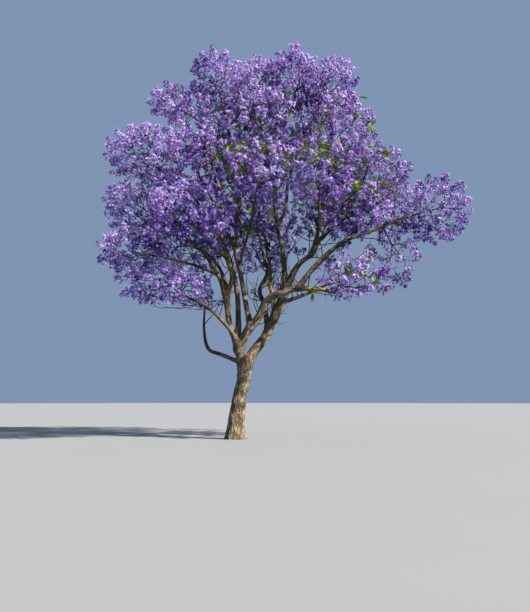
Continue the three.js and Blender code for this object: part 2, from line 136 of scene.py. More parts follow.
BOUGHS = (
    LimbPlan("low_left_limb", "trunk", 0.93, (160, 70),
        ((-560, 300, 2880), (-1000, 560, 3120), (-1180, 700, 3800)),
        MassPlan("low_left_sprig", (-1150, 500, 4900), (700, 800, 550), full=0.45)),
    LimbPlan("left_low_limb", "left_leader", 0.8, (160, 80), ((-290, -450, 3780), (-980, -1000, 4400)),
        MassPlan("left_skirt", (-2400, -1450, 5050), (1800, 1650, 750), full=0.95)),
    LimbPlan("left_upright", "left_leader", 0.9, (215, 60),
        ((-240, 0, 3900), (-330, 200, 4970), (-180, 300, 5620), (-360, 300, 6310), (-640, 300, 7500),
        (-560, 300, 9300), (-250, 300, 10500)),
        MassPlan("top_left", (-790, 650, 13020), (1080, 2350, 950), full=1.1)),
    LimbPlan("left_climber", "left_upright", 0.2, (150, 70), ((-690, 0, 5680), (-1500, 0, 6750)),
        MassPlan("left_outer", (-3480, 500, 8150), (1380, 2250, 1250), full=1.08)),
    LimbPlan("left_outer_limb", "left_climber", 0.33, (110, 65), ((-1900, -200, 6080),),
        MassPlan("left_low_outer", (-3550, -450, 6400), (1270, 2150, 950))),
    LimbPlan("left_arm", "left_upright", 0.5, (120, 70), ((-800, -700, 6480),),
        MassPlan("left_front", (-1450, -2650, 7150), (1600, 1850, 1150))),
    LimbPlan("wing_limb", "left_upright", 0.74, (105, 50), ((-1150, 100, 10350), (-1400, 0, 11200)),
        MassPlan("upper_left_wing", (-2260, -200, 11790), (1020, 1450, 700), full=0.9)),
    LimbPlan("shoulder_limb", "left_upright", 0.66, (110, 55), ((-900, 900, 9600),),
        MassPlan("left_shoulder", (-1400, 850, 11150), (1550, 2250, 1400), full=0.9)),
    LimbPlan("rear_left_limb", "left_upright", 0.27, (150, 75), ((-800, 1500, 6300),),
        MassPlan("back_left", (-2300, 3150, 7750), (2150, 1900, 1800))),
    LimbPlan("straight_stem", "left_leader", 0.97, (210, 65),
        ((60, 60, 4000), (-30, 560, 5200), (-500, 900, 6900), (-1700, 500, 8700)),
        MassPlan("left_high", (-3100, -250, 9830), (1650, 2300, 1100), full=1.08)),
    LimbPlan("centre_stem", "cross_limb", 0.22, (190, 60),
        ((260, 0, 4970), (60, 200, 5960), (-40, 300, 6500), (20, 300, 7870), (100, 200, 9300),
        (600, 200, 10900)),
        MassPlan("top_middle", (600, 650, 12520), (1300, 2550, 1220), full=1.1)),
    LimbPlan("centre_left_arm", "centre_stem", 0.42, (110, 60), ((-600, -500, 7700),),
        MassPlan("left_inner", (-1450, -1500, 9150), (1550, 1900, 1300), 0.15, 0.85)),
    LimbPlan("front_arm", "centre_stem", 0.3, (120, 65), ((450, -1100, 7000),),
        MassPlan("centre_front", (850, -2600, 8600), (1550, 1800, 1000), 0.45, 0.8)),
    LimbPlan("rear_top_limb", "centre_stem", 0.6, (120, 65), ((200, 1200, 9300),),
        MassPlan("back_top", (750, 2350, 10850), (2250, 1700, 1600), 0.25)),
    LimbPlan("crooked_stem", "right_leader", 0.52, (190, 75),
        ((940, 460, 4700), (790, 780, 5230), (1060, 1000, 5890), (980, 1000, 6400)),
        MassPlan("centre_deep", (550, 1300, 8450), (1400, 1650, 1250), 0.6, full=0.7)),
    LimbPlan("lichen_stem", "right_leader", 0.68, (150, 75),
        ((1190, 330, 5250), (1150, 700, 6200), (1000, 2300, 7400)),
        MassPlan("back_centre", (800, 4000, 8400), (1900, 1700, 1850), full=0.9)),
    LimbPlan("right_upright", "right_leader", 0.94, (210, 65),
        ((1660, 200, 6110), (1590, 200, 6680), (1400, 200, 7440), (1230, 100, 8870)),
        MassPlan("centre_upper", (900, -950, 10700), (1700, 2200, 1600), 0.35, 0.9)),
    LimbPlan("crest_riser", "right_upright", 0.6, (120, 55),
        ((1720, 260, 8100), (1850, 300, 9200), (2450, 250, 10900)),
        MassPlan("top_right", (3430, 600, 12550), (1090, 2350, 1200), full=1.14)),
    LimbPlan("crest_limb", "crest_riser", 0.74, (75, 50), (),
        MassPlan("top_crest", (1950, 300, 12850), (1300, 2300, 1050), full=1.1)),
    LimbPlan("right_climber", "right_leader", 0.96, (240, 75),
        ((2120, 0, 5930), (2660, -200, 6380), (2860, -300, 6790)),
        MassPlan("right_middle", (4150, -1050, 7800), (1550, 1700, 1000), 0.8)),
    LimbPlan("right_front_arm", "right_climber", 0.72, (110, 65), ((2800, -1000, 7500),),
        MassPlan("right_front", (2750, -2150, 8650), (1350, 1800, 1150), 0.8)),
    LimbPlan("shoulder_riser", "right_climber", 0.62, (130, 60), ((3000, 300, 8100), (3500, 350, 9400)),
        MassPlan("right_shoulder", (3600, 200, 10850), (1550, 2500, 1450), 0.5, full=1.12)),
    LimbPlan("right_high_limb", "right_climber", 0.8, (110, 60), ((3900, 100, 8300),),
        MassPlan("right_high", (4750, 200, 9240), (1580, 2350, 1190), 0.45, full=1.14)),
    LimbPlan("rear_right_limb", "right_climber", 0.45, (140, 70), ((3000, 1400, 7600),),
        MassPlan("back_right", (3950, 3050, 9200), (2150, 1900, 1700), 0.5)),
    LimbPlan("right_arch", "cross_limb", 0.97, (190, 75),
        ((2680, -950, 5810), (3600, -1050, 6580), (4650, -1000, 7000), (5600, -950, 7420)),
        MassPlan("far_right", (6850, -500, 7870), (1450, 1650, 1330), full=1.18)),
    LimbPlan("curtain_limb", "right_arch", 0.66, (90, 55), (),
        MassPlan("right_curtain", (5600, -200, 6250), (950, 1500, 1300), full=0.5)),
    LimbPlan("right_low_limb", "cross_limb", 0.95, (170, 80), ((2750, -1000, 4980), (3200, -1200, 4860)),
        MassPlan("right_low", (4000, -1700, 5150), (1250, 1350, 700), 0.15, full=0.42)),
    LimbPlan("rear_low_limb", "right_leader", 0.8, (160, 75), ((2500, 1300, 5150),),
        MassPlan("back_low_right", (4400, 2900, 6250), (1650, 1750, 1050), 0.2, full=0.55)),
)


class Slot(Enum):
    """The record's material slots."""

    BARK = "bark"
    BLOSSOM = "blossom"
    LEAF = "leaf"


class Petal(Enum):
    """The tints that the open lobes of the flowers come in, from the palest to the deepest, dealt out partly
    by chance and drifts and partly as painted shade, the deeper ones further in and lower in the crown.
    """

    PALE_LILAC = (0.74, 0.53, 0.95)
    ROSY_LILAC = (0.58, 0.33, 0.76)
    LAVENDER = (0.37, 0.22, 0.68)
    VIOLET = (0.18, 0.09, 0.44)
    DEEP_VIOLET = (0.07, 0.03, 0.22)


class Tube(Enum):
    """The tints that the flowers' tubes come in, in the same order, each darker than its lobes: partly the
    tube's own deeper colour and partly painted shade in the flower's throat.
    """

    LIGHT = (0.20, 0.11, 0.42)
    MIDDLE = (0.09, 0.045, 0.24)
    DARK = (0.035, 0.016, 0.11)


class Green(Enum):
    """The tints that a rosette's leaves come in."""

    LIME = (0.23, 0.33, 0.012)
    GRASS = (0.11, 0.17, 0.008)


# Small vector and noise functions on whole arrays


def unit(vectors: Array) -> Array:
    """Vectors scaled to length one: each is divided by the root of the sum of its squares."""
    return vectors / np.maximum(np.linalg.norm(vectors, axis=-1, keepdims=True), TINY)


def dot(a: Array, b: Array) -> Array:
    """The sum of the products of two arrays of vectors along their last axis, which is kept."""
    return np.sum(a * b, axis=-1, keepdims=True)


def metres(millimetres: Sequence) -> Array:
    """A plan's numbers in metres."""
    return np.array(millimetres, float) * MM


def angles(count: int) -> Array:
    """So many even angles round a full turn, from zero."""
    return np.arange(count) * FULL_TURN / count


def swung(first: Array, second: Array, angle: Array) -> Array:
    """One way turned towards another: the first times cos(angle) plus the second times sin(angle)."""
    return first * np.cos(angle)[..., None] + second * np.sin(angle)[..., None]


def circle(count: int, radius: float, height: float = 0.0, turn: float = 0.0) -> Array:
    """Level corners at the radius times the cosine and the sine of even angles, all at one height."""
    angle = angles(count) + turn
    return np.stack([radius * np.cos(angle), radius * np.sin(angle), height + 0 * angle], 1)


def lattice_noise(points: Array, seed: int) -> Array:
    """Smooth noise from -1 to 1.

    Each corner of the whole-number lattice has a value made from its three whole numbers by multiplying and
    mixing their bits. A point takes its cell's eight corners, weighed by 3t^2 - 2t^3 of its place t in the
    cell along each axis.

    Args:
        points: Points along the last axis.
        seed: A whole number that picks one pattern.

    Returns:
        One value for each point.
    """
    cell = np.floor(points).astype(np.int64)
    place = points - cell
    fade = place * place * (3 - 2 * place)
    total = np.zeros(points.shape[:-1])
    for corner in itertools.product((0, 1), repeat=3):
        mixed = sum((cell[..., k] + corner[k]) * HASH_FACTORS[k] for k in range(3))
        mixed = (mixed + seed * SEED_FACTOR) & LOW_31_BITS
        mixed = ((mixed ^ (mixed >> 13)) * MIX_FACTOR) & LOW_31_BITS
        value = ((mixed ^ (mixed >> 15)) & LOW_16_BITS) / (LOW_16_BITS / 2) - 1
        weight = np.prod([fade[..., k] if corner[k] else 1 - fade[..., k] for k in range(3)], axis=0)
        total += weight * value
    return total


def smooth_line(points: Array, shares: Array) -> Array:
    """Points on the smooth line through some points.

    Between point i and the next the line is the cubic that leaves along half the way from point i - 1 to
    point i + 1 and arrives along half the way from point i to point i + 2. Past its ends the line is
    carried on straight.

    Args:
        points: The points that the line passes.
        shares: Shares of the way from the first to the last, where each stretch counts the same.

    Returns:
        One point for each share.
    """
    before = 2 * points[:1] - points[1:2]
    after = 2 * points[-1:] - points[-2:-1]
    padded = np.vstack([before, points, after])
    stretches = len(points) - 1
    place = np.clip(shares, 0, 1) * stretches
    index = np.minimum(place.astype(int), stretches - 1)
    t = (place - index)[:, None]
    p0, p1, p2, p3 = (padded[index + k] for k in range(4))
    leave = (p2 - p0) / 2
    arrive = (p3 - p1) / 2
    square = (3 * (p2 - p1) - 2 * leave - arrive) * t**2
    cube = (2 * (p1 - p2) + leave + arrive) * t**3
    return p1 + leave * t + square + cube


# Meshes


def new_mesh(name: str, made: Mesh, smooth: bool = False, **stored: Array) -> bpy.types.Object:
    """Puts arrays of vertices and triangles into a new mesh object.

    Args:
        name: The piece's name.
        made: Its vertices, one row each, and its triangles, as rows of three vertex numbers.
        smooth: Whether it is shaded smooth.
        stored: One number or one vector for each vertex, by the name that its material reads.

    Returns:
        The object, at the origin.
    """
    vertices, faces = made
    mesh = bpy.data.meshes.new(name)
    mesh.vertices.add(len(vertices))
    mesh.vertices.foreach_set("co", vertices.astype(np.float32).ravel())
    mesh.loops.add(faces.size)
    mesh.loops.foreach_set("vertex_index", faces.astype(np.int32).ravel())
    mesh.polygons.add(len(faces))
    mesh.polygons.foreach_set("loop_start", np.arange(0, faces.size, 3, dtype=np.int32))
    mesh.update(calc_edges=True)
    mesh.polygons.foreach_set("use_smooth", np.full(len(faces), smooth))
    mesh.validate()
    for word, values in stored.items():
        kind, key = ("FLOAT", "value") if values.ndim == 1 else ("FLOAT_VECTOR", "vector")
        attribute = mesh.attributes.new(word, kind, "POINT")
        attribute.data.foreach_set(key, values.astype(np.float32).ravel())
    piece = bpy.data.objects.new(name, mesh)
    bpy.context.scene.collection.objects.link(piece)
    return piece


def many(shape: Mesh, places: Array, axes: Array, sizes: Array) -> Mesh:
    """Copies of one small shape, each turned, scaled and moved.

    A vertex of a copy is the copy's place plus its size times the sum of the shape's three coordinates
    times the copy's three axes.

    Args:
        shape: The shape.
        places: Where each copy stands.
        axes: Three vectors for each copy, as rows.
        sizes: The size of each copy.

    Returns:
        All copies.
    """
    corners, faces = shape
    turned = np.einsum("vk,nkj->nvj", corners, axes) * sizes[:, None, None]
    vertices = (places[:, None, :] + turned).reshape(-1, 3)
    shift = np.arange(len(places))[:, None, None] * len(corners)
    return vertices, (faces[None] + shift).reshape(-1, 3)


def axes_round(heading: Array, turn: Array, steep: float = 0.9) -> Array:
    """Three axes for each heading: the last is the heading, and the first two are turned round it.

    The first side is the heading crossed with Z, or with X where the heading is steep. The sides are then
    cos(turn) times the first plus sin(turn) times the second, and the same a quarter further.

    Args:
        heading: Unit vectors.
        turn: An angle for each.
        steep: The rise from which a heading counts as steep.

    Returns:
        An array of the axes as rows, one three by three block for each heading.
    """
    other = np.where(np.abs(heading[:, 2:3]) > steep, np.array([1.0, 0.0, 0.0]), UP)
    side = unit(np.cross(heading, other))
    cross = np.cross(heading, side)
    return np.stack([swung(side, cross, turn), swung(cross, -side, turn), heading], axis=1)


def tubes(centres: Array, radii: Array, sides: int) -> Mesh:
    """Many closed tapering tubes with the same number of rings.

    Ring k of a tube has its corners at its centre plus its radius times cos(a) of one side and sin(a) of the
    other, for evenly spaced angles a. Both sides stand square to the line at that ring, and come from one
    vector that is the same along the whole tube. Flat caps close the ends.

    Args:
        centres: Tubes by rings by three coordinates.
        radii: Tubes by rings.
        sides: How many corners a ring has.

    Returns:
        All tubes.
    """
    heading = unit(np.gradient(centres, axis=1))
    chord = unit(centres[:, -1] - centres[:, 0])
    level = np.eye(3)[np.argmin(np.abs(chord), axis=1)]
    side = unit(np.cross(heading, level[:, None, :]))
    cross = np.cross(heading, side)
    ring = swung(side[:, :, None], cross[:, :, None], angles(sides))
    vertices = centres[:, :, None] + radii[:, :, None, None] * ring
    return vertices.reshape(-1, 3), tube_faces(*radii.shape, sides)


def tube_faces(count: int, rings: int, sides: int) -> Array:
    """The triangles of closed tubes whose vertices are listed tube by tube, ring by ring and side by side.

    Args:
        count: How many tubes.
        rings: How many rings each has.
        sides: How many corners a ring has.

    Returns:
        Rows of three vertex numbers: two for each wall panel, and a fan over each end.
    """
    k, j = np.meshgrid(np.arange(rings - 1), np.arange(sides), indexing="ij")
    a = k * sides + j
    b = k * sides + (j + 1) % sides
    c, d = a + sides, b + sides
    wall = np.concatenate([np.stack([a, b, d], -1), np.stack([a, d, c], -1)]).reshape(-1, 3)
    fan = np.arange(1, sides - 1)
    foot = np.stack([0 * fan, fan + 1, fan], -1)
    head = np.stack([0 * fan, fan, fan + 1], -1) + (rings - 1) * sides
    one = np.vstack([wall, foot, head])
    shift = np.arange(count)[:, None, None] * rings * sides
    return (one[None] + shift).reshape(-1, 3)


def joined(parts: Sequence[Mesh]) -> Mesh:
    """Several pairs of vertices and triangles as one, with the vertex numbers counted on."""
    starts = np.cumsum([0] + [len(vertices) for vertices, _ in parts[:-1]])
    vertices = np.vstack([vertices for vertices, _ in parts])
    return vertices, np.vstack([faces + start for (_, faces), start in zip(parts, starts)])


# Shader expressions


class Signal:
    """A socket that gives a number, colour or vector, with operators that add Math nodes."""

    def __init__(self, paint: "Paint", socket: bpy.types.NodeSocket) -> None:
        """Keeps the material's paint and the socket."""
        self.paint = paint
        self.socket = socket

    def __add__(self, other: "Value") -> "Signal":
        """This plus another value."""
        return self.paint.maths("ADD", self, other)

    def __radd__(self, other: "Value") -> "Signal":
        """Another value plus this."""
        return self.paint.maths("ADD", other, self)

    def __sub__(self, other: "Value") -> "Signal":
        """This less another value."""
        return self.paint.maths("SUBTRACT", self, other)

    def __rsub__(self, other: "Value") -> "Signal":
        """Another value less this."""
        return self.paint.maths("SUBTRACT", other, self)

    def __mul__(self, other: "Value") -> "Signal":
        """This times another value."""
        return self.paint.maths("MULTIPLY", self, other)

    def __rmul__(self, other: "Value") -> "Signal":
        """Another value times this."""
        return self.paint.maths("MULTIPLY", other, self)

    def clamped(self) -> "Signal":
        """This held from 0 to 1."""
        return self.paint.maths("MINIMUM", self.paint.maths("MAXIMUM", self, 0.0), 1.0)


Value = Union[Signal, float]


class Paint:
    """One material and the expressions that are built in its node tree."""

    def __init__(self, name: str) -> None:
        """Starts an empty node tree with a principled shader on its surface.

        Args:
            name: The material's name.
        """
        self.material = bpy.data.materials.new(name)
        self.material.use_nodes = True
        self.tree = self.material.node_tree
        self.tree.nodes.clear()
        self.shader = self.tree.nodes.new("ShaderNodeBsdfPrincipled")
        output = self.tree.nodes.new("ShaderNodeOutputMaterial")
        self.tree.links.new(self.shader.outputs["BSDF"], output.inputs["Surface"])

    def put(self, target: bpy.types.NodeSocket, value: object) -> None:
        """Links a signal to a socket, or sets the socket's own value.

        Args:
            target: The socket.
            value: A signal, or a plain value of the socket's kind.
        """
        if isinstance(value, Signal):
            self.tree.links.new(value.socket, target)
        else:
            target.default_value = value

    def node(
        self,
        kind: str,
        settings: dict[str, object],
        inputs: dict[Union[int, str], object],
        output: Union[int, str] = 0,
    ) -> Signal:
        """Adds any node.

        Args:
            kind: The node's type.
            settings: Its settings, which are set first.
            inputs: Values or links of its sockets, by name or number.
            output: Which of its sockets gives the result.

        Returns:
            The chosen output.
        """
        node = self.tree.nodes.new(kind)
        for key, value in settings.items():
            setattr(node, key, value)
        for key, value in inputs.items():
            self.put(node.inputs[key], value)
        return Signal(self, node.outputs[output])

    def maths(self, operation: str, a: Value, b: Value) -> Signal:
        """A Math node's result on two values."""
        return self.node("ShaderNodeMath", {"operation": operation}, {0: a, 1: b})

    def noise(self, place: Signal, noise: Noise) -> Signal:
        """Noise from 0 to 1 at a place."""
        inputs = dict(zip(("Scale", "Detail", "Roughness"), noise))
        return self.node("ShaderNodeTexNoise", {}, {"Vector": place, **inputs})

    def step(self, value: Signal, span: Pair) -> Signal:
        """A smooth step: 0 below the span, 1 above it."""
        inputs = {"Value": value, "From Min": span[0], "From Max": span[1]}
        return self.node("ShaderNodeMapRange", {"interpolation_type": "SMOOTHSTEP"}, inputs)

    def patches(self, place: Signal, patches: "Patches") -> Signal:
        """Patches from 0 to 1 at a place."""
        return self.step(self.noise(place, patches.noise), patches.span)

    def blend(self, share: Value, a: object, b: object) -> Signal:
        """The colour that lies a share of the way from one colour to another."""
        return self.node("ShaderNodeMix", {"data_type": "RGBA"}, {0: share, 6: a, 7: b}, 2)

    def stretched(self, vector: Signal, factors: Point) -> Signal:
        """A vector with each coordinate multiplied by its own factor."""
        return self.node("ShaderNodeVectorMath", {"operation": "MULTIPLY"}, {0: vector, 1: factors})

    def attribute(self, name: str, output: str) -> Signal:
        """A piece's own stored number or vector."""
        return self.node("ShaderNodeAttribute", {"attribute_name": name}, {}, output)

    def place(self) -> Signal:
        """The place on a piece, in metres."""
        return self.node("ShaderNodeTexCoord", {}, {}, "Object")

    def finish(self, **sockets: object) -> bpy.types.Material:
        """Feeds the principled shader, whose sockets are named with underscores for spaces."""
        for name, value in sockets.items():
            self.put(self.shader.inputs[name.replace("_", " ")], value)
        return self.material


def opaque(colour: Colour) -> tuple[float, float, float, float]:
    """A colour with full opacity."""
    return (*colour, 1.0)


@dataclass(frozen=True)
class Patches:
    """Soft-edged patches: their noise, and the span over which it steps from none to full."""

    noise: Noise
    span: Pair


@dataclass(frozen=True)
class BarkFinish:
    """Fissured bark: tan-grey plates between dark cracks, paler where it is stout and darker on thin limbs,
    with a little lichen; the cracks' and the thin limbs' darkness is partly their own bark and partly painted
    shade.
    """

    plate: Colour = (0.34, 0.25, 0.135)
    weathered: Colour = (0.53, 0.42, 0.27)
    # The cracks' near-black: partly their own darker bark and partly painted shade in the fissures.
    crack_and_shade: Colour = (0.045, 0.027, 0.013)
    # Painted shade: thin limbs get this darker bark, partly their own colour and partly the shade of the
    # crown above them.
    young_and_shaded: Colour = (0.125, 0.083, 0.045)
    dark: Colour = (0.09, 0.06, 0.032)
    lichen: Colour = (0.62, 0.40, 0.03)
    moss: Colour = (0.23, 0.24, 0.09)
    crack_along: float = 0.2
    crack_noise: Noise = (26.0, 3.0, 0.55)
    crack_width: float = 0.22
    crack_and_shade_share: float = 0.9
    fine_noise: Noise = (80.6, 3.0, 0.6)
    fine_share: float = 0.35
    fine_tint: float = 0.9
    plate_share: float = 0.75
    weathering: Patches = Patches((2.6, 3.0, 0.5), (0.38, 0.66))
    old_radii: Pair = (0.02, 0.13)
    blotch_along: float = 0.45
    blotches: Patches = Patches((9.0, 3.0, 0.65), (0.43, 0.54))
    blotch_share: float = 0.8
    damp: Patches = Patches((1.3, 2.0, 0.5), (0.55, 0.75))
    damp_share: float = 0.35
    spots: Patches = Patches((9.0, 4.0, 0.6), (0.58, 0.68))
    spot_regions: Patches = Patches((0.9, 1.0, 0.5), (0.52, 0.64))
    spot_radii: Pair = (0.04, 0.08)
    spot_share: float = 0.3
    crust: Patches = Patches((18.0, 3.0, 0.6), (0.36, 0.52))
    bump_strength: float = 0.9
    bump_depth: float = 0.012
    crack_roughness: float = 0.97
    plate_smoothing: float = 0.14
    gloss: float = 0.3

    def material(self) -> bpy.types.Material:
        """Builds the bark.

        The grain attribute gives a place across and along the limb. Cracks are where noise, drawn out along
        the limb, is close to one half, and there the colour goes to near-black, partly the fissures' own bark
        and partly painted shade. Large noise turns plates weathered, middling noise darkens them, and
        stoutness turns the thin limbs' darker bark, which is partly painted shade of the crown, into old.
        Lichen shows where two noises are both high, and in patches where the crust attribute is.

        Returns:
            The material.
        """
        paint = Paint("bark")
        place, grain = paint.place(), paint.attribute("grain", "Vector")
        stout, crusted = (paint.attribute(name, "Fac") for name in ("stout", "crust"))
        drawn, spread = (paint.stretched(grain, (1.0, 1.0, k)) for k in (self.crack_along, self.blotch_along))

        wave = paint.noise(drawn, self.crack_noise) - 0.5
        ridge = paint.node("ShaderNodeMath", {"operation": "ABSOLUTE"}, {0: wave}) * 2.0
        fine = paint.noise(drawn, self.fine_noise)
        plates = paint.step(ridge, (0.0, self.crack_width))
        height = (plates * self.plate_share + fine * self.fine_share).clamped()

        weathered = paint.patches(place, self.weathering)
        blotch = paint.patches(spread, self.blotches)
        damp = paint.patches(place, self.damp)
        spot = paint.patches(place, self.spots) * paint.patches(place, self.spot_regions)
        spot = spot * paint.step(stout, self.spot_radii) * height * self.spot_share
        crust = paint.patches(place, self.crust) * crusted

        old = paint.blend(weathered, opaque(self.plate), opaque(self.weathered))
        # Painted shade: thin limbs blend towards the darker bark, partly their own colour and partly the
        # crown's shade.
        colour = paint.blend(paint.step(stout, self.old_radii), opaque(self.young_and_shaded), old)
        for share, layer in (
            ((fine - 0.5) * self.fine_tint * height, self.weathered),
            (blotch * self.blotch_share, self.dark),
            # Painted shade: the low places of the relief, the cracks, blend towards near-black, partly the
            # fissures' own darker bark.
            ((1.0 - height) * self.crack_and_shade_share, self.crack_and_shade),
            (damp * self.damp_share, self.moss),
            ((spot + crust).clamped(), self.lichen),
        ):
            colour = paint.blend(share, colour, opaque(layer))
        bump = {"Strength": self.bump_strength, "Distance": self.bump_depth, "Height": height}
        return paint.finish(
            Base_Color=colour,
            Roughness=self.crack_roughness - self.plate_smoothing * height,
            Normal=paint.node("ShaderNodeBump", {}, bump),
            Specular_IOR_Level=self.gloss,
        )


@dataclass(frozen=True)
class PlainFinish:
    """A matt finish of one tint, for the small things that are dealt out by tint."""

    name: str
    colour: Colour
    roughness: float
    gloss: float = 0.12

    def material(self) -> bpy.types.Material:
        """Builds the material, with every value on the shader itself."""
        return Paint(self.name).finish(
            Base_Color=opaque(self.colour),
            Roughness=self.roughness,
            Specular_IOR_Level=self.gloss,
        )


TWIG_FINISH = PlainFinish("twig", (0.05, 0.036, 0.026), roughness=0.85)
STALK_FINISH = PlainFinish("flower_stalk", (0.16, 0.13, 0.09), roughness=0.8)


def dress(
    piece: bpy.types.Object, material: bpy.types.Material, replaced: Sequence[str] = ()
) -> None:
    """Gives a piece its material and its body, and hides the solids that it stands for.

    Args:
        piece: The finished piece.
        material: What it is painted with.
        replaced: The names of the solids that it replaces.
    """
    piece.data.materials.clear()
    piece.data.materials.append(material)
    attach(piece, BODY)
    if replaced:
        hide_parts(*replaced)
    log.info("%s: %d triangles", piece.name, len(piece.data.polygons))


def dress_tint(word: str, tint: Enum, made: Mesh, roughness: float = 0.6) -> None:
    """Makes and dresses the piece that holds all of one kind and tint.

    Args:
        word: What the piece holds, which its name begins with.
        tint: The tint, whose value is its colour.
        made: The piece's vertices and triangles.
        roughness: How rough it is.
    """
    name = f"{word}_{tint.name.lower()}"
    dress(new_mesh(name, made), PlainFinish(name, tint.value, roughness).material())


# The skeleton of limbs


@dataclass
class Limb:
    """One limb's line in even steps, with the frame round it and its radius at each step."""

    name: str
    points: Array
    centre: Array
    run: Array
    radius: Array
    lobe: Array
    heading: Array = field(init=False)
    side: Array = field(init=False)
    cross: Array = field(init=False)

    def __post_init__(self) -> None:
        """Works out the frame.

        The heading is the difference of the steps round each one. The first side is carried from step to
        step: less its part along the new heading, and back to length one.
        """
        self.heading = unit(np.gradient(self.centre, axis=0))
        sides = [unit(np.cross(self.heading[0], OBLIQUE))]
        for heading in self.heading[1:]:
            sides.append(unit(sides[-1] - heading * float(sides[-1] @ heading)))
        self.side = np.array(sides)
        self.cross = np.cross(self.heading, self.side)

    def at(self, share: float) -> Array:
        """The point at a share of the limb's way, where each stretch counts the same."""
        return smooth_line(self.points, np.array([share]))[0]

    def rings(self, sides: int) -> Array:
        """The ways out to the corners of a ring at each step."""
        return swung(self.side[:, None], self.cross[:, None], angles(sides))


@dataclass
class Skeleton:
    """All limbs, by the same names, lines and tapers as the solids."""

    step: float = 0.045
    fine_steps: int = 600
    least_steps: int = 8
    trunk_girth: Pair = (580, 400)
    flare_height: float = 330
    flare_share: float = 0.38
    lobe_depth: float = 0.09
    lobe_least: float = 0.3
    swell_height: float = 220
    swell_share: float = 0.34
    trunk_top_share: float = 0.62
    collar_share: float = 0.28
    collar_length: float = 1.3
    end_depth: float = 0.6
    ground_dip: float = 0.03
    wander: float = 0.035
    wander_waves: float = 0.9
    wander_seeds: tuple[int, ...] = (61, 62, 63)

    def evenly(self, points: Array) -> tuple[Array, Array]:
        """The smooth line through some points, in even steps.

        Args:
            points: The points.

        Returns:
            The steps, and how far along the line each one lies.
        """
        fine = smooth_line(points, np.linspace(0, 1, self.fine_steps))
        run = np.concatenate([[0], np.cumsum(np.linalg.norm(np.diff(fine, axis=0), axis=1))])
        even = np.linspace(0, run[-1], max(self.least_steps, round(run[-1] / self.step) + 1))
        return np.column_stack([np.interp(even, run, fine[:, k]) for k in range(3)]), even

    def trunk(self) -> Limb:
        """The trunk.

        Its radius goes evenly from one end's to the other's, times one plus a flare that dies away upwards
        and a swelling that dies away downwards from the top, each as e to the minus height over its own
        height. Its lobes are the cosine of five times the angle, deepest at the ground.

        Returns:
            The trunk, from just under the ground up.
        """
        points = metres(TRUNK_LINE)
        centre, run = self.evenly(points)
        height = np.maximum(0, centre[:, 2])
        dying = np.exp(-height / (self.flare_height * MM))
        swell = self.swell_share * np.exp((height - height[-1]) / (self.swell_height * MM))
        wide, narrow = self.trunk_girth
        plain = (wide + (narrow - wide) * run / run[-1]) * MM / 2
        radius = plain * (1 + self.flare_share * dying + swell)
        radius[-1] *= self.trunk_top_share
        keep = centre[:, 2] > -self.ground_dip
        lobe = self.lobe_depth * (self.lobe_least + dying)
        return Limb("trunk", points, centre[keep], run[keep], radius[keep], lobe[keep])

    def limb(self, plan: LimbPlan, made: dict[str, Limb]) -> Limb:
        """One limb.

        Between its ends its line strays a little with smooth noise. Its radius goes evenly from half of its
        first width to half of its last, times one plus a collar of e to the minus way over so many first
        widths. A limb that carries a mass ends inside it, at a set depth on the side that it comes from.

        Args:
            plan: The limb's plan.
            made: The limbs before it.

        Returns:
            The limb.
        """
        start = made[plan.parent].at(plan.at)
        points = [start, *map(metres, plan.way)]
        if plan.mass:
            middle, reach = metres(plan.mass.middle), metres(plan.mass.reach)
            back = points[-1] - middle
            points.append(middle + back * self.end_depth / np.linalg.norm(back / reach))
        line = np.array(points)
        centre, run = self.evenly(line)
        stray = [lattice_noise(centre * self.wander_waves, seed) for seed in self.wander_seeds]
        centre += self.wander * np.sin(math.pi * run / run[-1])[:, None] * np.stack(stray, 1)
        wide, narrow = metres(plan.girth)
        collar = self.collar_share * np.exp(-run / (self.collar_length * wide))
        radius = (wide + (narrow - wide) * run / run[-1]) / 2 * (1 + collar)
        return Limb(plan.name, line, centre, run, radius, np.zeros(len(run)))

    def grow(self) -> dict[str, Limb]:
        """Makes all limbs, each after its parent.

        Returns:
            The limbs by name, the trunk first.
        """
        made = {"trunk": self.trunk()}
        for plan in (*LEADERS, *BOUGHS):
            made[plan.name] = self.limb(plan, made)
        return made


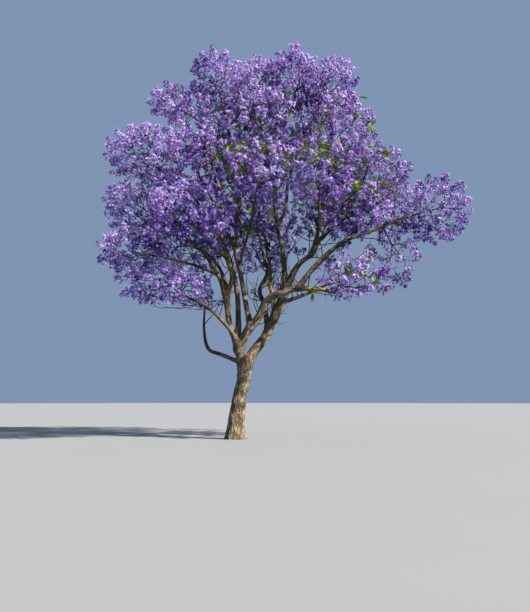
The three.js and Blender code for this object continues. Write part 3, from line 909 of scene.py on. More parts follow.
@dataclass
class WoodField:
    """The smoothly joined surface of all limbs, as a distance that is negative inside."""

    limbs: list[Limb]
    blend: float = 0.03
    lobes: int = 5
    chunk: int = 6000
    offset: float = 7.31
    seam: float = 0.09

    def measure(self, points: Array) -> tuple[Array, ...]:
        """Measures points against the joined wood.

        A limb's distance is the way from its axis, square to its heading at the nearest step, less its
        radius there, and past its ends the way from its last point less that radius. The joined distance is
        minus b times the logarithm of the sum of e to the minus distance over b, where b is the blend. The
        outward way is the mean of the limbs' ways, each weighed by its share of that sum.

        Args:
            points: One row each.

        Returns:
            The distances, the outward ways, the places across and along the nearest limb and the radius
            there, the same two for the next limb, and the nearest one's share, which is one half where both
            are as near.
        """
        parts = [self._chunk(points[i : i + self.chunk]) for i in range(0, len(points), self.chunk)]
        return tuple(np.concatenate(found) for found in zip(*parts))

    def _chunk(self, points: Array) -> tuple[Array, ...]:
        """Measures a few thousand points at once.

        Args:
            points: One row each.

        Returns:
            What measure returns.
        """
        gaps, ways, grains, girths = [], [], [], []
        for number, limb in enumerate(self.limbs):
            square = (limb.centre**2).sum(1) - 2 * points @ limb.centre.T
            near = np.argmin(square, axis=1)
            way = points - limb.centre[near]
            heading = limb.heading[near]
            ahead = dot(way, heading)
            past = (near == len(limb.centre) - 1)[:, None] & (ahead > 0)
            before = (near == 0)[:, None] & (ahead < 0)
            across = np.where(past | before, way, way - ahead * heading)
            u = dot(way, limb.side[near])[:, 0]
            v = dot(way, limb.cross[near])[:, 0]
            radius = limb.radius[near] * (1 + limb.lobe[near] * np.cos(self.lobes * np.arctan2(v, u)))
            reach = np.linalg.norm(across, axis=1)
            gaps.append(reach - radius)
            ways.append(across / np.maximum(reach, TINY)[:, None])
            grains.append(np.stack([u + number * self.offset, v, limb.run[near] + ahead[:, 0]], 1))
            girths.append(radius)
        gap = np.stack(gaps)
        least = gap.min(0)
        weight = np.exp(-(gap - least) / self.blend)
        total = weight.sum(0)
        way = np.einsum("lp,lpk->pk", weight / total, np.stack(ways))
        best, second = np.argsort(gap, axis=0)[:2]
        pick = np.arange(len(points))
        grains, girths = np.stack(grains), np.stack(girths)
        share = 0.5 + 0.5 * np.clip((gap[second, pick] - least) / self.seam, 0, 1)
        return (
            least - self.blend * np.log(total),
            way,
            grains[best, pick],
            girths[best, pick],
            grains[second, pick],
            girths[second, pick],
            share,
        )


@dataclass
class BarkRelief:
    """How far the bark stands out, from its place on the limb."""

    lump_waves: float = 2.3
    lump_along: float = 0.55
    knot_waves: float = 5.5
    knot_along: float = 0.7
    lump_mix: Pair = (0.6, 0.4)
    lump_radii: Pair = (0.04, 0.2)
    lump_shares: Pair = (0.22, 0.03)
    ridge_waves: float = 13.0
    ridge_along: float = 0.16
    ridge_mix: Pair = (0.65, 0.35)
    finer: float = 2.1
    sunk: float = 0.4
    depth: float = 0.02
    full_radius: float = 0.28
    thinning: float = 0.8
    seeds: tuple[int, ...] = (5, 6, 11, 23)

    def height(self, grain: Array, radius: Array) -> Array:
        """The relief.

        Lumps and knots are wide noise as a share of the radius, which is larger on thinner limbs. Ridges are
        one less twice the size of a noise drawn out along the limb, with a finer one at about half its depth,
        and grow shallower on thinner limbs.

        Args:
            grain: Places across and along the limb.
            radius: The limb's radius there.

        Returns:
            How far each place stands out, in metres.
        """
        lump_seed, knot_seed, wide_seed, fine_seed = self.seeds
        lump = lattice_noise(grain * [1.0, 1.0, self.lump_along] * self.lump_waves, lump_seed)
        knot = lattice_noise(grain * [1.0, 1.0, self.knot_along] * self.knot_waves, knot_seed)
        lump = self.lump_mix[0] * lump + self.lump_mix[1] * knot
        lump *= np.interp(radius, self.lump_radii, self.lump_shares)
        drawn = grain * [1.0, 1.0, self.ridge_along] * self.ridge_waves
        wide = 1 - 2 * np.abs(lattice_noise(drawn, wide_seed))
        fine = 1 - 2 * np.abs(lattice_noise(drawn * self.finer, fine_seed))
        ridge = self.ridge_mix[0] * wide + self.ridge_mix[1] * fine - self.sunk
        return radius * lump + self.depth * np.clip(radius / self.full_radius, 0, 1) ** self.thinning * ridge


@dataclass
class TrunkAndLeaders:
    """The trunk and its three leaders as one bark mesh, smoothly joined at the forks."""

    voxel: float = 0.0145
    sides: int = 20
    settle: int = 4
    longest_step: float = 0.05
    easing: float = 0.4

    def remeshed(self, rough: Mesh) -> Mesh:
        """The closed skin round some tubes that overlap, from a voxel remesh of them.

        Args:
            rough: The tubes.

        Returns:
            The skin.
        """
        draft = new_mesh("trunk_draft", rough, smooth=True)
        remesh = draft.modifiers.new("voxels", "REMESH")
        remesh.mode = "VOXEL"
        remesh.voxel_size = self.voxel
        solid = draft.evaluated_get(bpy.context.evaluated_depsgraph_get()).to_mesh()
        solid.calc_loop_triangles()
        vertices = np.empty(len(solid.vertices) * 3, np.float32)
        solid.vertices.foreach_get("co", vertices)
        faces = np.empty(len(solid.loop_triangles) * 3, np.int32)
        solid.loop_triangles.foreach_get("vertices", faces)
        bpy.data.objects.remove(draft)
        return vertices.reshape(-1, 3).astype(float), faces.reshape(-1, 3)

    def settled(self, skin: Mesh, wood: WoodField) -> Array:
        """The skin's vertices, brought to the joined wood.

        Each vertex first moves part of the way to the mean of its neighbours, which evens the mesh, and then
        to the wood's surface, by its distance along the outward way. Both are done a few times.

        Args:
            skin: The skin.
            wood: The joined surface.

        Returns:
            Its vertices on that surface.
        """
        vertices, faces = skin
        one, other = np.vstack([faces[:, [0, 1]], faces[:, [1, 2]], faces[:, [2, 0]]]).T
        degree = np.bincount(one, minlength=len(vertices))[:, None]
        for _ in range(self.settle):
            total = [np.bincount(one, vertices[other, k], len(vertices)) for k in range(3)]
            vertices += self.easing * (np.stack(total, 1) / np.maximum(degree, 1) - vertices)
            gap, way = wood.measure(vertices)[:2]
            vertices -= way * np.clip(gap, -self.longest_step, self.longest_step)[:, None]
        return vertices

    def build(self, limbs: dict[str, Limb], wood: WoodField, relief: BarkRelief) -> bpy.types.Object:
        """Builds the mesh.

        Plain tubes along the four limbs become one skin, which settles on the joined wood. The relief is
        added, shared between two limbs near their seam, and what is under the ground is brought up to it.

        Args:
            limbs: All limbs.
            wood: The joined surface.
            relief: The bark's relief.

        Returns:
            The finished piece, without its material.
        """
        rough = []
        for name in STOUT_LIMBS:
            limb = limbs[name]
            corners = limb.centre[:, None] + limb.radius[:, None, None] * limb.rings(self.sides)
            rough.append((corners.reshape(-1, 3), tube_faces(1, len(limb.run), self.sides)))
        skin = self.remeshed(joined(rough))
        vertices = self.settled(skin, wood)
        _, way, grain, radius, next_grain, next_radius, share = wood.measure(vertices)
        height = share * relief.height(grain, radius) + (1 - share) * relief.height(next_grain, next_radius)
        vertices += unit(way) * height[:, None]
        vertices[:, 2] = np.maximum(vertices[:, 2], 0)
        return new_mesh("trunk_and_leaders", (vertices, skin[1]), smooth=True, grain=grain, stout=radius)


@dataclass
class Boughs:
    """The boughs as one bark mesh of tubes, drawn out to the joined surface where they fork."""

    sides: int = 18
    fork_reach: float = 0.085
    crust_edge: float = 0.5
    bare: tuple[float, float, float] = (0.0, 1.0, 0.0)
    crusted: dict[str, tuple[float, float, float]] = field(
        default_factory=lambda: {
            "lichen_stem": (0.0, 0.3, 1.0),
            "right_low_limb": (0.2, 0.95, 0.55),
            "left_upright": (0.12, 0.5, 0.4),
        }
    )

    def build(self, limbs: dict[str, Limb], wood: WoodField, relief: BarkRelief) -> bpy.types.Object:
        """Builds the mesh.

        A ring's corners lie at the centre plus the radius times cos(a) and sin(a) of the limb's two sides.
        Near a fork a corner that lies a little inside the joined wood is moved out to its surface, and the
        deeper it lies the less it moves. The relief is added along the ring's own way out. The crusted limbs
        have lichen from one share of their length to another, as the root of half a sine wave.

        Args:
            limbs: All limbs.
            wood: The joined surface.
            relief: The bark's relief.

        Returns:
            The finished piece, without its material.
        """
        parts, grains, girths, crusts = [], [], [], []
        for number, limb in enumerate(limbs.values()):
            if limb.name in STOUT_LIMBS:
                continue
            ring = limb.rings(self.sides).reshape(-1, 3)
            radius, run = np.repeat(limb.radius, self.sides), np.repeat(limb.run, self.sides)
            turn = np.tile(angles(self.sides), len(limb.run))
            grain = np.stack([radius * np.cos(turn) + number * wood.offset, radius * np.sin(turn), run], 1)
            vertices = np.repeat(limb.centre, self.sides, axis=0) + radius[:, None] * ring
            vertices += ring * relief.height(grain, radius)[:, None]
            parts.append((vertices, tube_faces(1, len(limb.run), self.sides)))
            grains.append(grain)
            girths.append(radius)
            first, last, amount = self.crusted.get(limb.name, self.bare)
            along = np.clip((run / limb.run[-1] - first) / (last - first), 0, 1)
            crusts.append(amount * np.sin(math.pi * along) ** self.crust_edge)
        vertices, faces = joined(parts)
        gap, way = wood.measure(vertices)[:2]
        depth = np.clip(-gap, 0, None)
        vertices += way * (depth * np.clip(2 - depth / (self.fork_reach / 2), 0, 1))[:, None]
        return new_mesh(
            "boughs",
            (vertices, faces),
            smooth=True,
            grain=np.vstack(grains),
            stout=np.concatenate(girths),
            crust=np.concatenate(crusts),
        )


# The growth of the crown


@dataclass
class Space:
    """The space of one mass: an ellipsoid, as far as the planes that part it from the other masses."""

    plan: MassPlan
    margin: float = 0.012
    lump_waves: float = 1.1
    lump_depth: float = 0.14
    lump_base: float = 0.5
    lump_swing: float = 0.8
    lump_seed: int = 8
    middle: Array = field(init=False)
    reach: Array = field(init=False)
    size: float = field(init=False)
    others: list["Space"] = field(default_factory=list)

    def __post_init__(self) -> None:
        """Takes the middle and the half sizes in metres, and the size as the cube root of their product."""
        self.middle = metres(self.plan.middle)
        self.reach = metres(self.plan.reach)
        self.size = float(np.cbrt(self.reach.prod()))

    def holds(self, points: Array) -> Array:
        """Whether each point lies in this space.

        A plane parts two spaces where the squared distance to the middle less the squared size is the same
        for both. A point has to lie a margin on this space's side of every plane.

        Args:
            points: One row each.

        Returns:
            True or false for each.
        """
        inside = np.linalg.norm((points - self.middle) / self.reach, axis=1) <= 1
        middles = np.array([other.middle for other in self.others])
        sizes = np.array([other.size for other in self.others])
        own = ((points - self.middle) ** 2).sum(1) - self.size**2
        power = ((points[:, None] - middles) ** 2).sum(2) - sizes**2
        between = 2 * np.linalg.norm(middles - self.middle, axis=1)
        return inside & ((power - own[:, None]) / between > self.margin).all(1)

    def spread(self, count: int, depths: Pair, tries: int, random: np.random.Generator) -> Array:
        """Points spread evenly between two depths, each the best of several tries.

        A try lies at the middle plus a random unit vector times the half sizes times a random depth, which
        wide noise on the ellipsoid lessens by a share, so that the edge has lumps and hollows. The best one
        is the one furthest from the points chosen so far.

        Args:
            count: How many points.
            depths: The least and the greatest depth, from 0 in the middle to 1 at the edge.
            tries: How many tries each point has.
            random: The mass's own stream of numbers.

        Returns:
            The points, one row each.
        """
        up = random.uniform(-1, 1, (count, tries))
        turn = random.uniform(0, FULL_TURN, (count, tries))
        depth = random.uniform(*depths, (count, tries))
        flat = np.sqrt(1 - up * up)
        way = np.stack([flat * np.cos(turn), flat * np.sin(turn), up], -1)
        edge = (self.middle + way * self.reach).reshape(-1, 3)
        lump = self.lump_base - self.lump_swing * lattice_noise(edge * self.lump_waves, self.lump_seed)
        depth *= 1 - self.lump_depth * np.clip(lump, 0, 1).reshape(count, tries)
        tried = self.middle + way * self.reach * depth[..., None]
        held = self.holds(tried.reshape(-1, 3)).reshape(count, tries)
        chosen = np.empty((0, 3))
        for candidates, allowed in zip(tried, held):
            found = candidates[allowed]
            if not len(found):
                continue
            if len(chosen):
                room = np.linalg.norm(found[:, None] - chosen, axis=2).min(1)
                found = found[[room.argmax()]]
            chosen = np.vstack([chosen, found[:1]])
        return chosen


def curve_points(curves: Array, shares: Array) -> Array:
    """Points on cubics between two ends with given ways of leaving and arriving.

    At share t the point is (2t^3 - 3t^2 + 1) start + (t^3 - 2t^2 + t) leave + (3t^2 - 2t^3) end
    + (t^3 - t^2) arrive.

    Args:
        curves: The start, the end, the way of leaving and the way of arriving of each.
        shares: The shares t.

    Returns:
        Curves by shares by three coordinates.
    """
    t = shares[None, :, None]
    start, end, leave, arrive = (curves[:, None, k] for k in range(4))
    return (
        (2 * t**3 - 3 * t**2 + 1) * start
        + (t**3 - 2 * t**2 + t) * leave
        + (3 * t**2 - 2 * t**3) * end
        + (t**3 - t**2) * arrive
    )


@dataclass
class Growth:
    """What grows on the limbs.

    A twig has its curve, the number of the twig that it grows from, and the load that it adds. A panicle has
    its tip, its way and how high it sits in its mass, and a rosette of leaves its place and its way.
    """

    curves: list[Curve] = field(default_factory=list)
    parents: list[int] = field(default_factory=list)
    loads: list[float] = field(default_factory=list)
    panicles: list[tuple[Array, Array, float]] = field(default_factory=list)
    rosettes: list[tuple[Array, Array]] = field(default_factory=list)

    def twig(self, curve: Curve, parent: int, load: float = 1.0) -> int:
        """Adds one twig.

        Args:
            curve: Its curve.
            parent: The number of the twig that it grows from.
            load: The load that it adds.

        Returns:
            Its number.
        """
        self.curves.append(curve)
        self.parents.append(parent)
        self.loads.append(load)
        return len(self.curves) - 1


@dataclass
class Buds:
    """The buds of one mass: where each sits, how it points, how far along the wood and on which twig."""

    room: int
    shares: Array
    turn_weight: float = 0.5
    run_weight: float = 0.45
    ahead: float = 0.01
    count: int = 0
    place: Array = field(init=False)
    way: Array = field(init=False)
    run: Array = field(init=False)
    twig: Array = field(init=False)
    closed: Array = field(init=False)

    def __post_init__(self) -> None:
        """Makes room for all buds, which are closed as yet."""
        self.place, self.way = np.zeros((2, self.room, 3))
        self.run, self.twig = np.zeros(self.room), np.zeros(self.room, int)
        self.closed = np.ones(self.room, bool)

    def open(self, twig: int, curve: Curve, run: float) -> None:
        """Opens the buds of a new twig.

        Each sits at its share of the curve and points to where the curve is a little further on. Its way
        along the wood is that of the twig's start plus its share of the distance to the twig's end.

        Args:
            twig: The twig's number.
            curve: The twig's curve.
            run: How far along the wood the twig starts.
        """
        line, further = (curve_points(np.array([curve]), self.shares + k)[0] for k in (0, self.ahead))
        span = slice(self.count, self.count + len(self.shares))
        self.place[span] = line
        self.way[span] = unit(further - line)
        self.run[span] = run + self.shares * np.linalg.norm(curve[1] - curve[0])
        self.twig[span] = twig
        self.closed[span] = False
        self.count += len(self.shares)

    def take(self, end: Array) -> tuple[int, Array, float]:
        """Closes the free bud from which new wood to a point is cheapest.

        The cost is the distance times one plus half of one less the cosine of the turn, plus 0.45 of the way
        along the wood so far.

        Args:
            end: The point.

        Returns:
            The bud's number, the way from it to the point, and how long that is.
        """
        way = end - self.place
        length = np.linalg.norm(way, axis=1)
        turn = 1 - (way * self.way).sum(1) / np.maximum(length, TINY)
        cost = length * (1 + self.turn_weight * turn) + self.run_weight * self.run
        cost[self.closed] = np.inf
        bud = int(cost.argmin())
        self.closed[bud] = True
        return bud, way[bud], length[bud]


@dataclass
class Masses:
    """Grows every mass's twigs by the rule of the solids, carried on to finer twigs."""

    seed: int = 2041
    stem_length: float = 0.22
    buds: tuple[float, ...] = (0.3, 0.44, 0.58, 0.72, 0.86, 0.99)
    stem_buds: int = 3
    twigs: int = 6
    twig_depth: Pair = (0.3, 0.62)
    branchlets: int = 30
    branchlet_depth: Pair = (0.5, 0.84)
    panicles_per_square_metre: float = 13.0
    panicle_depth: Pair = (0.62, 0.985)
    tries: int = 24
    leave_mix: Pair = (0.55, 0.6)
    lift: float = 0.45
    outward_pull: float = 0.35
    wander: float = 0.22
    leafiness: tuple[float, ...] = (0.0, 0.8, 0.5)
    least_leafy_rise: float = -0.15
    most_leafy_depth: float = 0.89

    def grow(self, limbs: dict[str, Limb], growth: Growth) -> None:
        """Grows all masses.

        Args:
            limbs: All limbs; each bough's last step is where its mass begins.
            growth: What has grown so far, which is added to.
        """
        spaces = [Space(plan.mass) for plan in BOUGHS]
        for number, (plan, space) in enumerate(zip(BOUGHS, spaces)):
            space.others = [other for other in spaces if other is not space]
            self.grow_mass(space, limbs[plan.name], np.random.default_rng([self.seed, number]), growth)

    def grow_mass(self, space: Space, bough: Limb, random: np.random.Generator, growth: Growth) -> None:
        """Grows one mass from its bough's tip.

        New wood leaves the cheapest free bud. It sets out between the bud's way and the end's, and arrives
        along the chord, turned upwards and outwards, each with a little chance. The last twigs end in a
        panicle, or in a leafy mass by chance in a rosette of leaves.

        Args:
            space: The mass's space.
            bough: The limb that carries it.
            random: The mass's own stream of numbers.
            growth: What has grown so far, which is added to.
        """
        foot, heading = bough.centre[-1], bough.heading[-1]
        head = foot + heading * self.stem_length * space.reach.min()
        rx, ry, rz = space.reach
        count = round(space.plan.full * self.panicles_per_square_metre * (rx * ry + ry * rz + rz * rx))
        counts = (self.twigs, self.branchlets, count)
        depths = (self.twig_depth, self.branchlet_depth, self.panicle_depth)
        levels = [space.spread(*level, self.tries, random) for level in zip(counts, depths)]
        buds = Buds((1 + sum(map(len, levels))) * len(self.buds), np.array(self.buds))
        stem = (foot, head, head - foot, head - foot)
        buds.open(growth.twig(stem, NO_PARENT), stem, 0.0)
        buds.closed[: len(self.buds) - self.stem_buds] = True
        for level, ends in enumerate(levels):
            last = level == len(levels) - 1
            for end in ends[np.argsort(np.linalg.norm(ends - head, axis=1))]:
                bud, way, length = buds.take(end)
                chord = way / length
                stray = random.normal(0, self.wander, (2, 3))
                depth = np.linalg.norm((end - space.middle) / space.reach)
                outward = unit((end - space.middle) / space.reach)
                leave = self.leave_mix[0] * buds.way[bud] + self.leave_mix[1] * chord + stray[0]
                rise = self.lift * UP * (level + 1) / len(levels)
                arrive = unit(chord + rise + self.outward_pull * outward + stray[1]) * length
                curve = (buds.place[bud].copy(), end, unit(leave) * length, arrive)
                twig = growth.twig(curve, int(buds.twig[bud]))
                if not last:
                    buds.open(twig, curve, float(buds.run[bud]))
                leafy = random.uniform() < space.plan.leafy * self.leafiness[level]
                if leafy and depth < self.most_leafy_depth and outward[2] > self.least_leafy_rise:
                    growth.rosettes.append((end, unit(arrive)))
                elif last:
                    growth.panicles.append((end, unit(arrive), outward[2]))


@dataclass
class Shoots:
    """Crooked side shoots along the leaders and the boughs, a few of them in leaf or in flower."""

    seed: int = 2042
    per_metre: float = 2.3
    span: Pair = (0.22, 0.97)
    length: Pair = (0.35, 0.75)
    joints: int = 3
    along: float = 0.5
    rise: float = 0.45
    bend: float = 0.35
    shorter: Pair = (0.6, 0.85)
    aside: float = 0.8
    lifts: tuple[float, ...] = (0.22, 0.2, 0.3)
    load: float = 6.0
    blossom: float = 0.24
    # Painted shade: a shoot's panicles count as low in a mass, so that they take the deeper tints.
    painted_shade_rise: float = -0.6
    leafy: float = 0.12
    least_height: float = 3.4
    least_leaf_height: float = 4.8
    least_blossom_height: float = 5.2

    def grow(self, limbs: dict[str, Limb], growth: Growth) -> None:
        """Grows as many shoots on each limb as its length asks for.

        Args:
            limbs: All limbs, of which the first is the trunk.
            growth: What has grown so far, which is added to.
        """
        random = np.random.default_rng(self.seed)
        for limb in list(limbs.values())[1:]:
            for share in random.uniform(*self.span, round(limb.run[-1] * self.per_metre)):
                step = int(share * (len(limb.run) - 1))
                if limb.centre[step][2] > self.least_height:
                    self.grow_shoot(limb, step, random, growth)

    def grow_shoot(self, limb: Limb, step: int, random: np.random.Generator, growth: Growth) -> None:
        """Grows one crooked shoot from a limb's axis.

        It heads off to a random side, a little along the limb and upwards. Each joint turns by chance and
        upwards, is shorter than the last by a share, and sends a twig off to another side. Tips have a
        rosette of leaves by chance, and high up a panicle.

        Args:
            limb: The limb.
            step: Which of the limb's steps it leaves from.
            random: The stream of numbers.
            growth: What has grown so far, which is added to.
        """
        turn = random.uniform(0, FULL_TURN)
        out = limb.side[step] * math.cos(turn) + limb.cross[step] * math.sin(turn)
        way = unit(out + self.along * limb.heading[step] + self.rise * UP)
        place, parent, length = limb.centre[step], NO_PARENT, random.uniform(*self.length)
        flowering = self.blossom * (place[2] > self.least_blossom_height)
        joint_lift, side_lift, tip_lift = self.lifts
        for _ in range(self.joints):
            end = place + way * length
            bend = unit(way + random.normal(0, self.bend, 3) + joint_lift * UP)
            parent = growth.twig((place, end, way * length, bend * length), parent, self.load)
            place, way, length = end, bend, length * random.uniform(*self.shorter)
            aside = unit(bend + random.normal(0, self.aside, 3) + side_lift * UP)
            tip = place + aside * length
            curl = unit(aside + random.normal(0, self.bend, 3) + tip_lift * UP)
            growth.twig((place, tip, aside * length, curl * length), parent)
            if random.uniform() < flowering:
                growth.panicles.append((tip, curl, self.painted_shade_rise))
            elif random.uniform() < self.leafy * (tip[2] > self.least_leaf_height):
                growth.rosettes.append((tip, curl))
        if random.uniform() < flowering:
            growth.panicles.append((place, way, self.painted_shade_rise))


@dataclass
class Twigs:
    """The twigs of the whole crown as tubes, thicker the more they carry."""

    tip_radius: float = 0.0062
    thickening: float = 0.43
    taper: float = 0.62
    tip_taper: float = 0.5
    rings: int = 4
    sides: int = 3

    def build(self, growth: Growth) -> bpy.types.Object:
        """Builds the twigs.

        A twig's radius at its start is the tip's times a power of its load, which is its own and that of all
        that it carries. At its end it is a share of that.

        Args:
            growth: What has grown.

        Returns:
            The finished piece, without its material.
        """
        load = np.array(growth.loads)
        for number in range(len(load) - 1, -1, -1):
            if growth.parents[number] != NO_PARENT:
                load[growth.parents[number]] += load[number]
        shares = np.linspace(0, 1, self.rings)
        wide = self.tip_radius * load[:, None] ** self.thickening
        narrow = np.where(load[:, None] > 1, self.taper * wide, self.tip_taper * self.tip_radius)
        centres = curve_points(np.array(growth.curves), shares)
        return new_mesh("twigs", tubes(centres, wide + (narrow - wide) * shares, self.sides), smooth=True)


@dataclass
class Blossom:
    """The panicles: side stalks round an axis, each with a few trumpet flowers."""

    seed: int = 77
    side_stalks: int = 11
    flowers: int = 4
    length: float = 0.28
    width: float = 0.175
    foot_share: float = 0.95
    place_jitter: float = 0.25
    turn_jitter: float = 0.3
    roundness: Pair = (0.2, 0.68)
    stalk_lengths: Pair = (0.8, 1.15)
    stalk_out: float = 1.15
    stalk_up: Pair = (0.25, 0.9)
    stalk_radius: float = 0.0035
    flower_span: Pair = (0.5, 0.56)
    aside: float = 0.03
    face_aside: float = 0.75
    face_along: float = 0.75
    face_down: float = 0.12
    face_jitter: float = 0.25
    tube_length: float = 0.046
    tube_sides: int = 3
    mouth: float = 0.0185
    lobes: int = 5
    lobe_reach: float = 0.043
    lobe_lift: float = 0.004
    size_range: Pair = (0.8, 1.18)
    drift_waves: Pair = (0.8, 2.1)
    drift_seeds: tuple[int, int] = (3, 4)
    fine_drift: float = 0.5
    # Painted shade: panicles further in the crown and lower in their mass get deeper tints, those further out
    # and higher get paler ones.
    outer_painted_light: float = 1.4
    upper_painted_light: float = 0.5
    petal_shares: tuple[float, ...] = (0.3, 0.25, 0.2, 0.14, 0.11)
    tube_shares: tuple[float, ...] = (0.44, 0.33, 0.23)
    chance: float = 0.3
    stalk_chance: float = 0.42

    def arrange(self, places: Array, axes: Array) -> tuple[Array, Array, Array]:
        """Lays out the stalks and the flowers.

        Side stalk b leaves the axis a share s of its length before the tip, at the golden turn times b. It
        heads outwards and a little up, and is as long as the width times the sine of a share, so that the
        panicle is round. Flower k sits along the stalk's outer half, off to a side that turns a quarter from
        flower to flower, and faces away from the stalk and outwards.

        Args:
            places: The tips of the panicles.
            axes: The ways in which they point.

        Returns:
            The stalks' ends as start and end, the flowers' places, and the flowers' headings.
        """
        random = np.random.default_rng(self.seed)
        grid = (len(places), self.side_stalks)
        around = axes_round(axes, random.uniform(0, FULL_TURN, len(places)))
        b = np.arange(self.side_stalks)[None]
        s = (b + 0.5 + random.uniform(-self.place_jitter, self.place_jitter, grid)) / self.side_stalks
        angle = b * GOLDEN_TURN + random.uniform(-self.turn_jitter, self.turn_jitter, grid)
        radial = swung(around[:, None, 0], around[:, None, 1], angle)
        axis = axes[:, None, :]
        foot = places[:, None] + axis * ((s - self.foot_share) * self.length)[..., None]
        reach = self.width * np.sin(math.pi * (self.roundness[0] + self.roundness[1] * s))
        reach = (reach * random.uniform(*self.stalk_lengths, grid))[..., None]
        up = self.stalk_up[0] + self.stalk_up[1] * s
        way = unit(radial * (self.stalk_out - s)[..., None] + axis * up[..., None])
        tip = foot + way * reach

        k = np.arange(self.flowers)[None, None]
        quarter = k * math.pi / 2 + random.uniform(0, FULL_TURN, (*grid, 1))
        local = axes_round(way.reshape(-1, 3), np.zeros(way[..., 0].size)).reshape(*grid, 3, 3)
        off = swung(local[:, :, None, 0], local[:, :, None, 1], quarter)
        first, span = self.flower_span
        outer = first + span * (k + random.uniform(0, 1, (*grid, self.flowers))) / self.flowers
        along = way[:, :, None]
        spot = foot[:, :, None] + along * (reach * outer)[..., None] + off * self.aside
        jitter = random.normal(0, self.face_jitter, spot.shape)
        heading = unit(self.face_aside * off + self.face_along * along - self.face_down * UP + jitter)
        ends = np.stack([foot.reshape(-1, 3), tip.reshape(-1, 3)])
        return ends, spot.reshape(-1, 3), heading.reshape(-1, 3)

    def stalks(self, ends: Array) -> Mesh:
        """Thin spikes, from a small triangle at the foot to a point at the tip.

        A spike's third axis is its whole way, so that the shape's height of one reaches the tip.

        Args:
            ends: The stalks' ends as start and end.

        Returns:
            All stalks.
        """
        way = ends[1] - ends[0]
        frames = axes_round(unit(way), np.zeros(len(way)))
        frames[:, 2] *= np.linalg.norm(way, axis=1, keepdims=True)
        corners = np.vstack([circle(3, self.stalk_radius), UP])
        faces = np.array([[0, 1, 3], [1, 2, 3], [2, 0, 3], [0, 2, 1]])
        return many((corners, faces), ends[0], frames, np.ones(len(way)))

    def tube_shape(self) -> Mesh:
        """A flower's tube: a cone from its foot to its mouth, which lies at the origin."""
        k = np.arange(self.tube_sides)
        corners = np.vstack([-self.tube_length * UP, circle(self.tube_sides, self.mouth)])
        return corners, np.stack([0 * k, (k + 1) % self.tube_sides + 1, k + 1], 1)

    def lobe_shape(self) -> Mesh:
        """A flower's lobes: a triangle on each edge of the mouth, out to a tip and a little forward.

        Returns:
            The lobes, with their mouth at the origin.
        """
        k = np.arange(self.lobes)
        tips = circle(self.lobes, self.lobe_reach, self.lobe_lift, math.pi / self.lobes)
        faces = np.stack([k, (k + 1) % self.lobes, k + self.lobes], 1)
        return np.vstack([circle(self.lobes, self.mouth), tips]), faces

    def build(self, panicles: Sequence[tuple[Array, Array, float]]) -> None:
        """Builds the stalks, the tubes and the lobes, each tint of them as a piece.

        A side stalk's tint follows wide noise at its panicle's place and a little chance, so that tints lie
        in drifts, and also how far out in the crown and how high in its mass that lies, so that tints deepen
        inwards and down as painted shade. Each tint has its share of the stalks.

        Args:
            panicles: The tip and the way of each, and how high it sits in its mass, from -1 to 1.
        """
        places, axes, rises = map(np.array, zip(*panicles))
        ends, spots, headings = self.arrange(places, axes)
        dress(new_mesh("flower_stalks", self.stalks(ends)), STALK_FINISH.material())

        random = np.random.default_rng(self.seed + 1)
        wide, fine = (lattice_noise(places * w, seed) for w, seed in zip(self.drift_waves, self.drift_seeds))
        middle = (places.min(0) + places.max(0)) / 2
        outward = np.linalg.norm((places - middle) / np.ptp(places, axis=0), axis=1)
        # Painted shade: the place in the crown and in the mass lifts the outer and higher panicles towards
        # the paler tints.
        lift = self.outer_painted_light * outward + self.upper_painted_light * rises
        light = wide + self.fine_drift * fine + lift + random.normal(0, self.chance, len(places))
        light = np.repeat(light, self.side_stalks)
        light += random.normal(0, self.stalk_chance, len(light))
        rank = np.argsort(np.argsort(light)) / len(light)
        sizes = random.uniform(*self.size_range, len(spots))
        frames = axes_round(headings, random.uniform(0, FULL_TURN, len(spots)))
        for word, tints, shape, shares in (
            ("petals", Petal, self.lobe_shape(), self.petal_shares),
            # Painted shade: the tubes take darker tints than the lobes, in the same order.
            ("flower_tubes", Tube, self.tube_shape(), self.tube_shares),
        ):
            step = np.repeat(np.searchsorted(np.cumsum(shares[:-1]), 1 - rank), self.flowers)
            for number, tint in enumerate(tints):
                mine = step == number
                dress_tint(word, tint, many(shape, spots[mine], frames[mine], sizes[mine]))


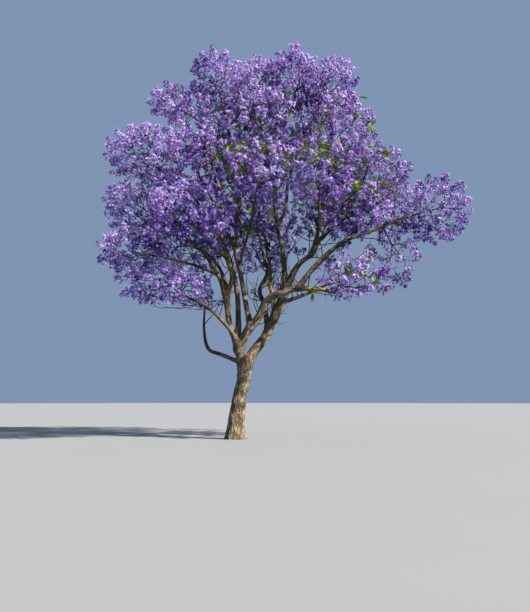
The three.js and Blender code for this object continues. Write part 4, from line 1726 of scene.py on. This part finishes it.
@dataclass
class Leaves:
    """Rosettes of feathery leaves: a drooping midrib with pairs of narrow leaflets."""

    seed: int = 311
    length: float = 0.25
    pairs: int = 6
    first_pair: float = 0.2
    leaflet: float = 0.3
    leaflet_width: float = 0.18
    leaflet_sizes: Pair = (0.22, 0.62)
    forward: float = 0.45
    hang: float = 0.18
    droop: float = 0.22
    rib: float = 0.012
    rib_taper: tuple[float, ...] = (1.0, 0.7, 0.3)
    rib_sides: int = 3
    per_rosette: int = 8
    turn_jitter: float = 0.4
    lift: float = 0.35
    way_jitter: float = 0.15
    size_range: Pair = (0.7, 1.1)
    lime_share: float = 0.6
    roughness: float = 0.5

    def midrib(self, x: Array) -> Array:
        """The midrib at shares x of its length, where it hangs by the droop times x^2."""
        return np.stack([-self.droop * x**2, 0 * x, x], 1)

    def shape(self) -> Mesh:
        """One leaf of length one along its third axis, which droops along its first.

        Leaflet pair i leaves the midrib at its share x, outwards and forwards, as a lozenge. Its length
        follows the sine of a share, so that leaflets are longest before the leaf's middle.

        Returns:
            The leaf.
        """
        x = np.linspace(self.first_pair, 1.0, self.pairs)
        rib = self.midrib(x)
        first, span = self.leaflet_sizes
        size = (self.leaflet * np.sin(math.pi * (first + span * (x - self.first_pair))))[:, None]
        k = np.arange(self.pairs)[:, None] * 4
        faces = np.vstack([k + [0, 1, 2], k + [0, 2, 3]])
        parts = []
        for side in (-1.0, 1.0):
            way = unit(np.array([-self.hang, side, self.forward]))
            middle = rib + way * (0.5 * size)
            wide = np.array([0.0, -side * self.forward, 1.0]) * self.leaflet_width / 2
            corners = np.stack([rib, middle - wide * side, rib + way * size, middle + wide * side], 1)
            parts.append((corners.reshape(-1, 3), faces))
        taper = np.array([self.rib_taper]) * self.rib
        line = self.midrib(np.linspace(0, 1, len(self.rib_taper)))
        return joined([*parts, tubes(line[None], taper, self.rib_sides)])

    def build(self, rosettes: Sequence[tuple[Array, Array]]) -> None:
        """Builds the leaves, each tint of them as a piece.

        The leaves of a rosette stand round its way at golden turns, lifted a little along it.

        Args:
            rosettes: The place and the way of each rosette.
        """
        random = np.random.default_rng(self.seed)
        count = len(rosettes) * self.per_rosette
        places, axes = (np.repeat(part, self.per_rosette, axis=0) for part in zip(*rosettes))
        turn = np.arange(count) * GOLDEN_TURN + random.uniform(-self.turn_jitter, self.turn_jitter, count)
        outward = axes_round(axes, turn)[:, 0]
        heading = unit(outward + self.lift * axes + random.normal(0, self.way_jitter, (count, 3)))
        top = unit(UP - heading * heading[:, 2:3])
        frames = np.stack([top, np.cross(heading, top), heading], axis=1)
        sizes = self.length * random.uniform(*self.size_range, count)
        lime = np.repeat(random.uniform(size=len(rosettes)) < self.lime_share, self.per_rosette)
        for tint, mine in ((Green.LIME, lime), (Green.GRASS, ~lime)):
            made = many(self.shape(), places[mine], frames[mine], sizes[mine])
            dress_tint("leaves", tint, made, self.roughness)


# The studio


@dataclass
class Studio:
    """A plain pale floor, light from the upper right, and the camera at the photo's viewing angle."""

    camera_place: Point = (0.984, -24.6, 1.4)
    camera_tilt: float = 7.3
    lens: float = 42.0
    sensor: float = 36.0
    furthest: float = 1000.0
    floor_radius: float = 160.0
    floor_sides: int = 96
    floor_depth: float = 0.002
    floor_colour: Colour = (0.25, 0.248, 0.245)
    floor_shade: float = 0.97
    floor_noise: Noise = (0.35, 2.0, 0.5)
    floor_roughness: float = 0.9
    sun_from: Point = (0.88, -0.47, 0.8)
    sun_strength: float = 10.2
    sun_angle: float = 1.6
    sun_colour: Colour = (1.0, 0.965, 0.91)
    sky_colour: Colour = (0.48, 0.66, 1.0)
    sky_strength: float = 0.45

    def camera(self) -> None:
        """Makes the camera, level from side to side and tilted up."""
        data = bpy.data.cameras.new("camera")
        data.lens = self.lens
        data.sensor_width = self.sensor
        data.sensor_fit = "AUTO"
        data.clip_end = self.furthest
        camera = bpy.data.objects.new("camera", data)
        camera.location = self.camera_place
        camera.rotation_euler = (math.radians(90 + self.camera_tilt), 0.0, 0.0)
        bpy.context.scene.collection.objects.link(camera)
        bpy.context.scene.camera = camera

    def floor(self) -> None:
        """Makes the floor: a flat disc whose corners lie at the radius times cos(a) and sin(a)."""
        k = np.arange(self.floor_sides)
        rim = circle(self.floor_sides, self.floor_radius, -self.floor_depth)
        faces = np.stack([0 * k, k + 1, (k + 1) % self.floor_sides + 1], 1)
        floor = new_mesh("studio_floor", (np.vstack([-self.floor_depth * UP, rim]), faces))
        paint = Paint("studio_floor")
        cloud = paint.noise(paint.place(), self.floor_noise)
        shade = tuple(self.floor_shade * c for c in self.floor_colour)
        colour = paint.blend(cloud, opaque(self.floor_colour), opaque(shade))
        floor.data.materials.append(paint.finish(Base_Color=colour, Roughness=self.floor_roughness))
        floor.visible_diffuse = False

    def light(self) -> None:
        """Makes the sun, whose wide angle softens its shadows, and the even light all round."""
        data = bpy.data.lights.new("key", "SUN")
        data.energy = self.sun_strength
        data.angle = math.radians(self.sun_angle)
        data.color = self.sun_colour
        key = bpy.data.objects.new("key", data)
        x, y, z = unit(np.array(self.sun_from))
        key.rotation_euler = (math.acos(z), 0.0, math.atan2(x, -y))
        bpy.context.scene.collection.objects.link(key)
        world = bpy.data.worlds.new("studio")
        bpy.context.scene.world = world
        world.use_nodes = True
        background = world.node_tree.nodes["Background"]
        background.inputs["Color"].default_value = opaque(self.sky_colour)
        background.inputs["Strength"].default_value = self.sky_strength

    def build(self) -> None:
        """Sets up the camera, the floor, the lights and how the colours are shown."""
        self.camera()
        self.floor()
        self.light()
        bpy.context.scene.view_settings.view_transform = "Standard"
        log.info("studio: a floor, a camera, a sun and even light")


def main() -> None:
    """Builds the tree and the studio."""
    logging.basicConfig(level=logging.INFO, format="%(name)s: %(message)s")
    limbs = Skeleton().grow()
    wood = WoodField(list(limbs.values()))
    relief = BarkRelief()
    bark = BarkFinish().material()
    dress(TrunkAndLeaders().build(limbs, wood, relief), bark, STOUT_LIMBS)
    dress(Boughs().build(limbs, wood, relief), bark, [plan.name for plan in BOUGHS])

    growth = Growth()
    Masses().grow(limbs, growth)
    Shoots().grow(limbs, growth)
    log.info("%d panicles and %d rosettes", len(growth.panicles), len(growth.rosettes))
    masses = [plan.mass.name for plan in BOUGHS]
    dress(Twigs().build(growth), TWIG_FINISH.material(), masses)
    Blossom().build(growth.panicles)
    Leaves().build(growth.rosettes)

    Studio().build()


if __name__ == "__main__":
    main()
